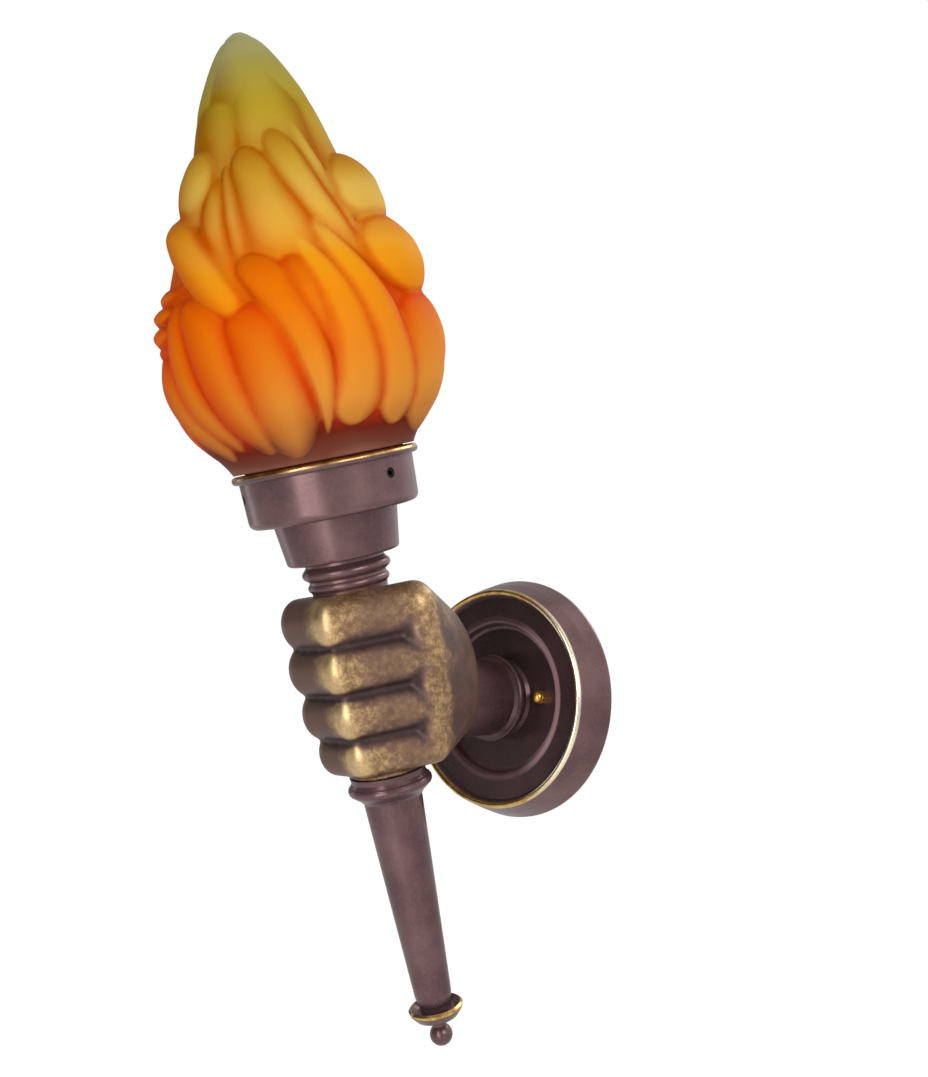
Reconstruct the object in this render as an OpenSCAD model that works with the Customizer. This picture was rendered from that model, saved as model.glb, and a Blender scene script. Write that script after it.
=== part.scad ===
// Torch sconce: a fist on a round wall plate grips a turned torch with a flame-shaped glass shade.
// Millimetres. The origin is the centre of the wall plate on the wall: the wall is the plane Y = 0,
// the sconce stands out towards -Y, and +Z is up. Depths are counted from the wall, and heights
// along the torch from the point of its axis that lies straight in front of the plate's centre.

/* [Torch] */
// Lean of the torch away from the wall, in degrees
torch_tilt = 16.3; // [10:0.1:22]
// Distance from the wall to the torch axis at the plate's height
torch_reach = 117.4; // [110:0.2:130]
// Outer diameter of the hollow threaded rod that clamps the torch together
rod_d = 10; // [9:0.5:12]
// Bore of the rod, for the leads
rod_bore_d = 7.2; // [6:0.2:8]

/* [Wall plate] */
// Diameter of the plate at the wall
plate_d = 136.8; // [128:0.2:150]
// Distance from the wall to the crest of the gilt ridge
plate_depth = 22; // [20:0.5:30]
// Diameter of the gilt ridge, measured on its crest
ridge_d = 121.4; // [114:0.2:126]
// Radius of the ridge's rounded crest
ridge_r = 1.6; // [1:0.1:2.5]
// Distance from the wall to the flat land inside the ridge
land_depth = 18.3; // [16:0.1:20]
// Diameter of the sunk dish inside the land
dish_d = 84; // [78:1:92]
// Distance from the wall to the floor of the dish
dish_depth = 13; // [11:0.1:15]
// Thickness of the plate's metal
plate_wall = 1.6; // [1.2:0.1:2.2]

/* [Wall bracket] */
// Length of the bar on the wall
bar_length = 112; // [104:1:118]
// Width of the bar
bar_width = 22; // [16:1:28]
// Thickness of the bar
bar_thickness = 2.5; // [2:0.1:3.2]
// Diameter of the round middle of the bar
bar_hub_d = 44; // [38:1:50]
// Diameter of the hole for the supply cable
cable_hole_d = 28; // [20:1:32]
// Distance between the two slots for the wall screws
slot_spacing = 88; // [84:0.5:90]
// Length of a wall screw slot, end to end
slot_length = 12; // [10:0.5:14]
// Width of a wall screw slot
slot_width = 5; // [4:0.1:5.6]
// Distance between the two studs that hold the plate
stud_spacing = 60; // [58:0.5:64]
// Diameter of a stud
stud_d = 4; // [3.5:0.1:4.4]
// Width across the flats of a cap nut
cap_nut_flats = 7; // [6.6:0.1:7.6]
// Height of a cap nut's six-sided part
cap_nut_height = 4; // [3:0.1:5]
// Height of a cap nut's dome above its flats
cap_nut_dome = 3.4; // [2.8:0.1:4]

/* [Arm] */
// Diameter of the turned sleeve between the plate and the wrist
sleeve_d = 43; // [40:0.5:46]
// Diameter of the sleeve's ring
sleeve_ring_d = 50; // [47:0.5:51]
// Distance from the wall to the middle of the sleeve's ring
sleeve_ring_depth = 24; // [21:0.5:28]
// Wall of the sleeve
sleeve_wall = 3.5; // [2.5:0.1:5]
// Distance from the wall to the flat end of the wrist
wrist_depth = 62; // [58:0.5:66]
// Depth that the threaded nipple reaches into the wrist
nipple_grip = 16; // [12:0.5:20]
// Width across the flats of the lock nuts
lock_nut_flats = 14; // [13:0.5:16]
// Thickness of the lock nuts
lock_nut_height = 3.5; // [3:0.1:5]
// Thickness of the washers
washer_thickness = 1; // [0.8:0.1:1.5]
// Diameter of the washers
washer_d = 18; // [16:0.5:20]

/* [Hand] */
// Half thickness of a finger across the grip
finger_r = 11; // [10:0.1:12]
// Half thickness of a finger along the torch
finger_half = 14; // [13:0.1:14.6]
// Distance between neighbouring fingers along the torch
finger_pitch = 24; // [22:0.2:25]
// Height of the forefinger along the torch
forefinger_height = 44; // [42:0.5:46]
// Height of the grip's upper end, where the neck is let in
grip_top = 52; // [50:0.5:54]
// Depth of the grip's lower end below the plate's height
grip_bottom = 40; // [38:0.5:42]
// Radius of the core that the fingers close round
core_r = 20; // [18:0.1:20.2]
// Radius of the wrist's flat end
wrist_r = 22; // [20:0.5:23]

/* [Turned metalwork] */
// Radius of the neck at its ends
neck_r = 19.8; // [19:0.1:21]
// Radius of the neck's two rings
neck_ring_r = 23.2; // [22.5:0.1:25]
// Height of the neck
neck_height = 22.6; // [20:0.2:26]
// Radius of the small cup at its foot
cup_foot_r = 29.4; // [28:0.1:31]
// Radius of the small cup at its mouth
cup_mouth_r = 32.4; // [31:0.1:33.6]
// Height of the small cup
cup_height = 22.4; // [20:0.2:25]
// Wall of both cups
cup_wall = 2; // [1.6:0.1:2.3]
// Height of the large cup from its floor to its bead
gallery_height = 26.4; // [24:0.2:30]
// Outer diameter of the gilt bead
bead_d = 97; // [96:0.5:100]
// Radius of the bead's round section
bead_r = 2.2; // [1.8:0.1:2.6]
// Radius of the large cup's lower corner
gallery_corner_r = 4; // [3:0.1:5]
// Radius of the collar below the hand at its top
collar_r = 20.3; // [19:0.1:21]
// Radius of the collar's ring
collar_ring_r = 22.4; // [21.6:0.1:24]
// Height of the collar
collar_height = 14.8; // [12:0.2:18]
// Radius of the handle at its upper end
handle_top_r = 15.6; // [14:0.1:17]
// Radius of the handle above its lower end
handle_foot_r = 9.9; // [9:0.1:11]
// Length of the handle
handle_length = 117; // [100:1:135]
// Wall of the handle
handle_wall = 1.8; // [1.4:0.1:2.4]
// Radius of the saucer under the handle
saucer_r = 14.7; // [13.5:0.1:16]
// Height of the saucer
saucer_height = 8; // [7:0.2:10]
// Radius of the end ball
ball_r = 6.1; // [5:0.1:7]

/* [Glass shade] */
// Diameter of the glass neck, a standard fitter size
fitter_d = 82.5; // [81:0.5:83]
// Wall of the glass neck
fitter_wall = 3.2; // [2.6:0.1:4]
// Height of the flame above the bead
flame_height = 216.5; // [195:0.5:235]
// Share by which the flame is fuller or slimmer than drawn
flame_fullness = 1; // [0.94:0.01:1.06]
// Share by which the tongues stand prouder or flatter than drawn
tongue_relief = 1; // [0.8:0.05:1.2]
// Least wall of the blown flame
flame_wall = 3; // [2.5:0.1:4]

/* [Shade screws] */
// Diameter of a shade screw
shade_screw_d = 5; // [4:0.1:6]
// Length of a shade screw
shade_screw_length = 2.8; // [2.4:0.1:3.2]
// Width across the flats of a shade screw's socket
shade_screw_flats = 2.5; // [2:0.1:3]
// Height of the screws above the large cup's floor
shade_screw_height = 16.5; // [12:0.5:18]

/* [Lampholder and lamp] */
// Outer diameter of the lampholder
holder_d = 40; // [38:0.5:42]
// Wall of the lampholder
holder_wall = 2.4; // [2:0.1:3]
// Height of the lampholder's cap
holder_cap_height = 13; // [12:0.5:16]
// Height of the lampholder's skirt
holder_skirt_height = 30; // [26:0.5:32]
// Thickness of the porcelain insert
insert_height = 7; // [6:0.5:9]
// Diameter of the lamp's screw cap
lamp_cap_d = 26.4; // [26:0.1:27]
// Length of the lamp's screw cap
lamp_cap_length = 22; // [20:0.5:24]
// Diameter of the lamp's globe
lamp_globe_d = 60; // [50:1:64]
// Height of the lamp's neck, from its cap to the middle of its globe
lamp_neck = 47; // [42:0.5:52]
// Wall of the lamp's globe
lamp_wall = 1; // [0.8:0.1:1.5]

/* [Wiring] */
// Diameter of an insulated lead
lead_d = 1.8; // [1.5:0.1:2]
// Length of the terminal block
block_length = 26; // [24:0.5:30]
// Width of the terminal block
block_width = 11; // [9:0.5:12]
// Height of the terminal block
block_height = 10; // [8:0.5:12]
// Distance from the plate's centre to the terminal block's middle
block_radius = 52; // [51:0.1:53]

/* [Clearances] */
// Gap all round a threaded piece
thread_gap = 0.15; // [0.1:0.05:0.2]
// Gap round the studs, the rod and other pieces that pass through a hole
pass_gap = 0.3; // [0.25:0.05:0.4]
// Gap between the glass and what it stands on
seat_gap = 0.2; // [0.1:0.05:0.3]
// Gap between a shade screw's tip and the glass neck
pinch_gap = 0.35; // [0.3:0.05:0.5]
// Gap all round the glass neck inside the large cup
fitter_gap = 1.6; // [1.4:0.1:2]
// Gap between the lamp's cap and the lampholder's screw shell
lamp_gap = 0.4; // [0.3:0.05:0.5]

/* [Hidden] */

brown = [0.37, 0.28, 0.29];
gold = [0.86, 0.68, 0.36];
bronze = [0.55, 0.43, 0.24];
flame_orange = [0.91, 0.47, 0.13];
steel = [0.72, 0.73, 0.75];
brass = [0.83, 0.66, 0.33];
porcelain = [0.93, 0.92, 0.88];

$fn = 96;
eps = 0.01;
mesh_fn = 20;          // facets of the round pieces that the hand is blended from

// Levels along the torch
neck_foot = grip_top;
neck_top = neck_foot + neck_height;
cup_top = neck_top + cup_height;
gallery_floor = cup_top + cup_wall;
bead_height = cup_top + gallery_height;
glass_foot = gallery_floor + seat_gap;
flame_foot = bead_height + bead_r + 0.7;
collar_top = -grip_bottom;
handle_top = collar_top - collar_height;
handle_bottom = handle_top - handle_length;
saucer_bottom = handle_bottom - saucer_height + 1;
ball_centre = saucer_bottom - ball_r - 1;

rod_r = rod_d / 2;
rod_hole_r = rod_r + thread_gap;
rod_pass_r = rod_r + pass_gap;
cup_floor = neck_top + cup_wall;
rod_nut_seat = cup_floor + washer_thickness;
holder_foot = rod_nut_seat + lock_nut_height + 0.5;
holder_cap_top = holder_foot + holder_cap_height;
holder_top = holder_cap_top + holder_skirt_height;
insert_top = holder_cap_top + 5;
insert_foot = insert_top - insert_height;
rod_top = holder_foot + 7;
rod_bottom = handle_bottom - saucer_height + 3.5;
lamp_foot = insert_top + 2.3;
lamp_cap_foot = lamp_foot + 2.5;
lamp_cap_top = lamp_cap_foot + lamp_cap_length;
lamp_middle = lamp_cap_top + lamp_neck;

gallery_r = fitter_d / 2 + fitter_gap + cup_wall;
shade_screws = 3;
screw_angles = [for (i = [0:shade_screws - 1]) i * 360 / shade_screws];
screw_tip_r = fitter_d / 2 + pinch_gap;
screw_level = gallery_floor + shade_screw_height - cup_wall;

plate_r = plate_d / 2;
ridge_circle_r = ridge_d / 2;
dish_r = dish_d / 2;
floor_back = dish_depth - plate_wall;
land_back = land_depth - plate_wall;
nipple_back = floor_back - washer_thickness - lock_nut_height - 0.9;

// Moves a piece drawn about +Z to the torch, or to the wall with +Z standing out from it
module on_torch() translate([0, -torch_reach, 0]) rotate([torch_tilt, 0, 0]) children();
module on_wall() rotate([90, 0, 0]) children();

// A ring turned from an outline of [radius, height] points
module turned(outline) rotate_extrude() polygon(outline);

// Points of an arc about (x, y), from one angle to another
function arc(x, y, r, from, to, steps = 6) =
    [for (i = [0:steps]) let (a = from + (to - from) * i / steps) [x + r * cos(a), y + r * sin(a)]];

module ring(inner_r, outer_r, height)
    difference() {
        cylinder(r = outer_r, h = height);
        translate([0, 0, -1]) cylinder(r = inner_r, h = height + 2);
    }

module hex_nut(flats, height, hole_r)
    difference() {
        cylinder(r = flats / 2 / cos(30), h = height, $fn = 6);
        translate([0, 0, -1]) cylinder(r = hole_r, h = height + 2);
    }

// ---- Wall bracket ----

module wall_bracket()
    color(steel) on_wall() difference() {
        union() {
            translate([-bar_length / 2, -bar_width / 2, 0]) cube([bar_length, bar_width, bar_thickness]);
            cylinder(d = bar_hub_d, h = bar_thickness);
        }
        translate([0, 0, -1]) cylinder(d = cable_hole_d, h = bar_thickness + 2);
        for (side = [-1, 1]) {
            translate([side * slot_spacing / 2, 0, -1]) wall_screw_slot();
            translate([side * stud_spacing / 2, 0, -1])
                cylinder(r = stud_d / 2 + thread_gap, h = bar_thickness + 2);
        }
    }

module wall_screw_slot()
    linear_extrude(bar_thickness + 2) union() {
        for (side = [-1, 1])
            translate([side * (slot_length - slot_width) / 2, 0]) circle(d = slot_width);
        square([slot_length - slot_width, slot_width], center = true);
    }

stud_tip = dish_depth + cap_nut_height + 1;

module bracket_studs()
    color(steel) on_wall() for (side = [-1, 1])
        translate([side * stud_spacing / 2, 0, 0]) cylinder(d = stud_d, h = stud_tip);

module cap_nut(side)
    color(brass) on_wall() translate([side * stud_spacing / 2, 0, dish_depth]) difference() {
        union() {
            cylinder(r = cap_nut_flats / 2 / cos(30), h = cap_nut_height, $fn = 6);
            translate([0, 0, cap_nut_height]) intersection() {
                sphere(r = cap_nut_dome);
                cylinder(r = cap_nut_dome, h = cap_nut_dome);
            }
        }
        translate([0, 0, -1]) cylinder(r = stud_d / 2 + thread_gap, h = cap_nut_height + 2.4);
    }

// ---- Wall plate and arm ----

// The plate's visible face, from its centre hole outwards to the wall
function plate_face() = concat(
    [[rod_pass_r, dish_depth]],
    [[dish_r - 5, dish_depth]],
    arc(dish_r - 2, dish_depth + 2, 2, -90, -10, 4),
    arc(dish_r + 2.4, land_depth - 2, 2, 170, 90, 4),
    [[ridge_circle_r - ridge_r - 1.6, land_depth]],
    arc(ridge_circle_r, plate_depth - ridge_r, ridge_r, 160, 20, 8),
    [[plate_r - (plate_r - ridge_circle_r) * 0.36, plate_depth * 0.5]],
    [[plate_r, 1.5], [plate_r, 0]]);

// The plate's hidden face, from the wall back to the centre hole
function plate_back() = [
    [plate_r - plate_wall, 0],
    [plate_r - (plate_r - ridge_circle_r) * 0.36 - plate_wall, plate_depth * 0.5],
    [ridge_circle_r - 0.2, land_back],
    [dish_r + 2.4 + plate_wall, land_back],
    [dish_r + plate_wall, floor_back + 1.5],
    [dish_r, floor_back],
    [rod_pass_r, floor_back]];

module wall_plate()
    color(brown) on_wall() difference() {
        turned(concat(plate_face(), plate_back()));
        for (side = [-1, 1])
            translate([side * stud_spacing / 2, 0, floor_back - 1])
                cylinder(r = stud_d / 2 + pass_gap, h = plate_wall + 2);
    }

module arm_sleeve()
    color(brown) on_wall() turned(concat(
        [[sleeve_d / 2 - sleeve_wall, dish_depth]],
        [[sleeve_d / 2 + 1.4, dish_depth]],
        [[sleeve_d / 2 + 1.4, dish_depth + 2]],
        [[sleeve_d / 2, dish_depth + 4]],
        arc(sleeve_ring_d / 2 - 2.2, sleeve_ring_depth, 2.2, -80, 80, 6),
        [[sleeve_d / 2, sleeve_ring_depth + 3.4]],
        [[sleeve_d / 2, wrist_depth - 1]],
        [[sleeve_d / 2 - 1, wrist_depth]],
        [[rod_pass_r, wrist_depth]],
        [[rod_pass_r, wrist_depth - sleeve_wall]],
        [[sleeve_d / 2 - sleeve_wall, wrist_depth - sleeve_wall]]));

module arm_nipple()
    color(steel) on_wall() translate([0, 0, nipple_back])
        ring(rod_bore_d / 2, rod_r, wrist_depth + nipple_grip - nipple_back);

module arm_washer()
    color(steel) on_wall() translate([0, 0, floor_back - washer_thickness])
        ring(rod_pass_r, washer_d / 2, washer_thickness);

module arm_lock_nut()
    color(steel) on_wall() translate([0, 0, floor_back - washer_thickness - lock_nut_height])
        hex_nut(lock_nut_flats, lock_nut_height, rod_hole_r);

// ---- Hand ----
// Joints of a curled finger across the torch, as [x, y], from its knuckle round to its tip

grip_drawn = 92;                           // grip height at which the hand's numbers were drawn
hand_scale = (grip_top + grip_bottom) / grip_drawn;
knuckle = [36.3, 8.8] * hand_scale;
first_joint = [6.3, -23.6] * hand_scale;
second_joint = [-20.7, -20.4] * hand_scale;
fingertip = [-28.8, -3.7] * hand_scale;
finger_reach = [0.97, 1, 0.94, 0.82];      // share of the full curl, forefinger to little finger
finger_size = [1, 1, 0.96, 0.87];

function finger_level(i) = forefinger_height - finger_pitch * i + (i == 3 ? 2.5 * hand_scale : 0);

module lump(place, level, r, half)
    on_torch() translate([place[0], place[1], level]) scale([1, 1, half / r]) sphere(r, $fn = mesh_fn);

module drawn(place, level, r, half)
    lump(place * hand_scale, level * hand_scale, r * hand_scale, half * hand_scale);

module finger(i) {
    joints = [knuckle, first_joint, second_joint, fingertip] * finger_reach[i];
    for (j = [0:2])
        hull() {
            lump(joints[j], finger_level(i), finger_r * finger_size[i], finger_half * finger_size[i]);
            lump(joints[j + 1], finger_level(i), finger_r * finger_size[i] - (j == 2 ? 1 : 0),
                finger_half * finger_size[i] - (j == 2 ? 2 : 0));
        }
}

module palm()
    hull() {
        for (i = [0:3])
            lump(knuckle * finger_reach[i], finger_level(i), finger_r * finger_size[i],
                finger_half * finger_size[i]);
        drawn([20.9, 33.7], 5, 19, 38);
        drawn([14, 12], 34, 9, 12);
        drawn([14, 12], -22, 9, 12);
        on_wall() translate([0, 0, wrist_depth - 2]) cylinder(r = wrist_r, h = 6, $fn = 40);
    }

// The ball of the thumb, which the fingertips close on
module heel()
    hull() {
        drawn([-12, 18], 2, 14, 36);
        drawn([12, 22], 2, 18, 38);
    }

module thumb() {
    hull() {
        drawn([4, 34], 12, 15, 20);
        drawn([-16, 24], 28, 11.5, 12);
    }
    hull() {
        drawn([-16, 24], 28, 11.5, 12);
        drawn([-27, 14], 37, 10.5, 11);
    }
    hull() {
        drawn([-27, 14], 37, 10.5, 11);
        drawn([-33, 3], 42, 9.5, 10);
    }
}

module hand()
    color(bronze) difference() {
        union() {
            for (i = [0:3]) finger(i);
            palm();
            heel();
            thumb();
            on_torch() {
                translate([0, 0, collar_top - 3])
                    cylinder(r = core_r, h = grip_top + grip_bottom + 6, $fn = 48);
                translate([8, -4, -20] * hand_scale)
                    cylinder(r = 16 * hand_scale, h = 66 * hand_scale, $fn = 48);
            }
        }
        on_torch() {
            translate([0, 0, collar_top - 30]) cylinder(r = rod_pass_r, h = grip_top + grip_bottom + 60);
            translate([0, 0, grip_top]) cylinder(r = neck_r + pass_gap, h = 40);
            translate([0, 0, collar_top - 40]) cylinder(r = collar_ring_r + pass_gap, h = 40);
        }
        on_wall() {
            cylinder(r = wrist_r * 3, h = wrist_depth);
            translate([0, 0, wrist_depth - 1]) cylinder(r = rod_hole_r, h = nipple_grip + 2);
            translate([0, 0, wrist_depth]) cylinder(d = rod_bore_d + 1, h = torch_reach - wrist_depth);
        }
    }

// ---- Torch metalwork ----

module torch_rod()
    color(steel) difference() {
        on_torch() translate([0, 0, rod_bottom]) ring(rod_bore_d / 2, rod_r, rod_top - rod_bottom);
        on_wall() translate([0, 0, torch_reach - rod_d]) cylinder(d = rod_bore_d - 0.4, h = rod_d);
    }

module neck_collar()
    color(brown) on_torch() turned(concat(
        [[rod_pass_r, neck_foot]],
        [[neck_r - 0.8, neck_foot]],
        [[neck_r, neck_foot + 6.8]],
        arc(neck_ring_r - 4.2, neck_foot + 9.6, 2.4, -60, 60, 6),
        [[neck_ring_r - 3, neck_foot + 13]],
        arc(neck_ring_r - 2.8, neck_foot + 16.6, 2.8, -60, 60, 6),
        [[neck_r + 0.8, neck_top - 2]],
        [[neck_r + 0.8, neck_top]],
        [[rod_pass_r, neck_top]]));

module lower_collar()
    color(brown) on_torch() turned(concat(
        [[rod_pass_r, collar_top]],
        [[collar_r, collar_top]],
        [[collar_r - 0.4, collar_top - 3]],
        arc(collar_ring_r - 3, collar_top - 7.2, 3, 60, -60, 6),
        [[handle_top_r + 1.6, collar_top - collar_height + 2]],
        [[handle_top_r, handle_top]],
        [[rod_pass_r, handle_top]]));

module handle()
    color(brown) on_torch() turned([
        [handle_top_r, handle_top],
        [handle_foot_r, handle_bottom + 9],
        [handle_foot_r - 0.7, handle_bottom + 5],
        [handle_foot_r - 1.5, handle_bottom + 3],
        [handle_foot_r - 1.5, handle_bottom],
        [rod_pass_r, handle_bottom],
        [rod_pass_r, handle_bottom + 7],
        [handle_foot_r - handle_wall, handle_bottom + 10],
        [handle_top_r - handle_wall, handle_top]]);

module saucer()
    color(brown) on_torch() turned([
        [rod_hole_r, handle_bottom],
        [handle_foot_r + 0.4, handle_bottom],
        [saucer_r - 2.4, handle_bottom + 1.6],
        [saucer_r - 1, handle_bottom + 2.6],
        [saucer_r, handle_bottom + 1.6],
        [saucer_r - 0.6, handle_bottom - 0.6],
        [saucer_r - 3.4, handle_bottom - 4],
        [saucer_r - 7.6, saucer_bottom + 0.8],
        [saucer_r - 10, saucer_bottom],
        [rod_bore_d / 2, saucer_bottom],
        [rod_bore_d / 2, rod_bottom - 0.4],
        [rod_hole_r, rod_bottom - 0.4]]);

module end_ball()
    color(brown) on_torch() union() {
        translate([0, 0, ball_centre]) sphere(r = ball_r);
        translate([0, 0, ball_centre]) cylinder(r = 3, h = saucer_bottom - ball_centre);
        translate([0, 0, ball_centre + 1]) cylinder(r = rod_bore_d / 2 - thread_gap, h = 18 + ball_r);
    }

// ---- Cups ----

module socket_cup()
    color(brown) on_torch() difference() {
        turned(concat(
            [[rod_pass_r, neck_top]],
            [[cup_foot_r - 2, neck_top]],
            arc(cup_foot_r - 1.8, neck_top + 2, 1.9, -80, -5, 4),
            [[cup_mouth_r, cup_top]],
            [[cup_mouth_r - 10, cup_top]],
            [[cup_mouth_r - 10, cup_top - cup_wall]],
            [[cup_mouth_r - cup_wall - 0.3, cup_top - cup_wall]],
            [[cup_foot_r - cup_wall, neck_top + 4]],
            [[cup_foot_r - cup_wall - 2, cup_floor]],
            [[rod_pass_r, cup_floor]]));
        rivet_holes(cup_top - cup_wall - 1);
    }

rivet_circle_r = cup_mouth_r - 5.6;
rivet_r = 1.5;

module rivet_holes(from)
    for (a = screw_angles)
        rotate([0, 0, a + 60]) translate([rivet_circle_r, 0, from])
            cylinder(r = rivet_r + thread_gap, h = cup_wall + 2);

// Hollow rivets that join the two cups through the small cup's inner flange
module cup_rivets()
    color(brass) on_torch() for (a = screw_angles)
        rotate([0, 0, a + 60]) translate([rivet_circle_r, 0, cup_top]) union() {
            translate([0, 0, -cup_wall - 0.9]) cylinder(r = rivet_r * 1.7, h = 0.9);
            translate([0, 0, -cup_wall - 0.5]) cylinder(r = rivet_r, h = 2 * cup_wall + 1);
            translate([0, 0, cup_wall]) cylinder(r = rivet_r * 1.7, h = 0.9);
        }

module gallery_cup()
    color(brown) on_torch() difference() {
        rotate_extrude() union() {
            polygon(concat(
                [[holder_d / 2 + 1.6, cup_top]],
                arc(gallery_r - 0.5 - gallery_corner_r, cup_top + gallery_corner_r, gallery_corner_r,
                    -90, 0, 6),
                [[gallery_r + 0.3, bead_height - bead_r]],
                [[gallery_r + 0.3, bead_height]],
                [[gallery_r - cup_wall, bead_height]],
                [[gallery_r - cup_wall, gallery_floor + 1]],
                [[gallery_r - cup_wall - 1, gallery_floor]],
                [[holder_d / 2 + 1.6, gallery_floor]]));
            translate([bead_d / 2 - bead_r, bead_height]) circle(r = bead_r, $fn = 32);
        }
        for (a = screw_angles)
            translate([0, 0, screw_level]) rotate([0, 90, a])
                translate([0, 0, fitter_d / 2]) cylinder(r = shade_screw_d / 2 + thread_gap, h = 20);
        rivet_holes(cup_top - 1);
    }

// A slotted grub screw, drawn in its hole in the large cup's wall
module shade_screw(i)
    color(steel) on_torch() translate([0, 0, screw_level]) rotate([0, 90, screw_angles[i - 1]])
        translate([0, 0, screw_tip_r]) difference() {
            cylinder(d = shade_screw_d, h = shade_screw_length);
            translate([0, 0, shade_screw_length - 1.6])
                cylinder(r = shade_screw_flats / 2 / cos(30), h = 3, $fn = 6);
        }

module rod_washer()
    color(steel) on_torch() translate([0, 0, cup_floor]) ring(rod_pass_r, washer_d / 2, washer_thickness);

module rod_lock_nut()
    color(steel) on_torch() translate([0, 0, rod_nut_seat])
        hex_nut(lock_nut_flats, lock_nut_height, rod_hole_r);

// ---- Lampholder ----

module lampholder_cap()
    color(porcelain) on_torch() turned([
        [rod_hole_r, holder_foot],
        [rod_r + 4, holder_foot],
        [rod_r + 6, holder_foot + 1],
        [holder_d / 2 - 2, holder_foot + 3],
        [holder_d / 2, holder_foot + 5],
        [holder_d / 2, holder_cap_top],
        [holder_d / 2 - holder_wall, holder_cap_top],
        [holder_d / 2 - holder_wall, holder_foot + 5.6],
        [rod_r + 4, holder_foot + 5],
        [rod_hole_r, holder_foot + 5]]);

module lampholder_skirt()
    color(porcelain) on_torch() difference() {
        translate([0, 0, holder_cap_top]) cylinder(d = holder_d, h = holder_skirt_height);
        translate([0, 0, holder_cap_top - 1])
            cylinder(r = holder_d / 2 - holder_wall, h = holder_skirt_height + 2);
    }

shell_r = lamp_cap_d / 2 + lamp_gap;
shell_wall = 0.8;
lead_side = 10;        // distance from the torch axis to a terminal screw

module lampholder_insert()
    color(porcelain) on_torch() translate([0, 0, insert_foot]) difference() {
        cylinder(r = holder_d / 2 - holder_wall - pass_gap, h = insert_height);
        for (side = [-1, 1])
            translate([side * lead_side, 0, -1]) cylinder(r = 1.5 + thread_gap, h = insert_height - 1);
        translate([0, 0, -1]) cylinder(r = 2.6, h = insert_height + 2);
    }

// Screw shell with its turned-in foot, standing on the insert
module lampholder_shell()
    color(brass) on_torch() translate([0, 0, insert_top]) difference() {
        cylinder(r = shell_r + shell_wall, h = holder_top - insert_top - 3);
        translate([0, 0, -1]) cylinder(r = shell_r, h = holder_top - insert_top);
    }

module lampholder_contact()
    color(brass) on_torch() union() {
        translate([0, 0, insert_foot]) cylinder(r = 2.2, h = insert_height + 1);
        translate([0, 0, insert_top]) cylinder(r = 4, h = 0.8);
        translate([0, 0, insert_top + 0.5]) cylinder(r = 2.8, h = 1.6);
    }

module lampholder_screws()
    color(brass) on_torch() for (side = [-1, 1])
        translate([side * lead_side, 0, insert_foot]) union() {
            cylinder(r = 1.5, h = insert_height - 3);
            translate([0, 0, -1.6]) cylinder(r = 2.6, h = 1.6);
        }

// ---- Lamp ----

module lamp_contact()
    color(brass) on_torch() translate([0, 0, lamp_foot]) cylinder(r1 = 3.4, r2 = 5, h = 1.2);

module lamp_cap()
    color(steel) on_torch() union() {
        translate([0, 0, lamp_foot + 1.2])
            cylinder(r1 = 6, r2 = lamp_cap_d / 2 - 1.2, h = lamp_cap_foot - lamp_foot - 1.2);
        translate([0, 0, lamp_cap_foot]) cylinder(d = lamp_cap_d, h = lamp_cap_length);
    }

module lamp_globe() {
    globe_r = lamp_globe_d / 2;
    neck_r = lamp_cap_d / 2 + 0.8;
    color("white") on_torch() turned(concat(
        [[neck_r, lamp_cap_top]],
        [[neck_r + 1, lamp_cap_top + lamp_neck * 0.2]],
        arc(0, lamp_middle, globe_r, -38, 90, 14),
        arc(0, lamp_middle, globe_r - lamp_wall, 90, -38, 14),
        [[neck_r + 1 - lamp_wall, lamp_cap_top + lamp_neck * 0.2]],
        [[neck_r - lamp_wall, lamp_cap_top]]));
}

// ---- Wiring ----

// A tube of radius r along a list of points, as one closed mesh
function unit(v) = v / norm(v);
function heading(path, i) = unit(path[min(i + 1, len(path) - 1)] - path[max(i - 1, 0)]);
function tube_ring(p, h, r, sides) =
    let (side = unit(cross(h, [0.94, 0.31, 0.12])), up = cross(side, h))
    [for (k = [0:sides - 1]) p + r * (cos(360 * k / sides) * side + sin(360 * k / sides) * up)];

module tube(path, r, sides = 8) {
    rings = len(path);
    polyhedron(
        points = [for (i = [0:rings - 1]) each tube_ring(path[i], heading(path, i), r, sides)],
        faces = concat(
            [[for (k = [0:sides - 1]) k]],
            [for (i = [0:rings - 2], k = [0:sides - 1])
                let (a = i * sides + k, b = i * sides + (k + 1) % sides)
                each [[a, a + sides, b + sides], [a, b + sides, b]]],
            [[for (k = [sides - 1:-1:0]) (rings - 1) * sides + k]]));
}

// Points of a smooth curve through the given points
function curve_point(a, b, c, d, u) =
    0.5 * ((2 * b) + (c - a) * u + (2 * a - 5 * b + 4 * c - d) * u * u
        + (3 * b - a - 3 * c + d) * u * u * u);
function smooth(path, steps) = concat(
    [for (i = [0:len(path) - 2], s = [0:steps - 1])
        curve_point(path[max(i - 1, 0)], path[i], path[i + 1], path[min(i + 2, len(path) - 1)],
            s / steps)],
    [path[len(path) - 1]]);

// A point given by depth from the wall, and a point given by place on the torch
function wall_point(x, depth, z) = [x, -depth, z];
function torch_point(x, y, level) =
    [x, -torch_reach + y * cos(torch_tilt) - level * sin(torch_tilt),
        y * sin(torch_tilt) + level * cos(torch_tilt)];

lead_gap = 0.25;
lead_x = lead_d / 2 + lead_gap;
block_foot = block_radius - block_width / 2;
lead_exit_depth = floor_back - 2.2;

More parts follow.
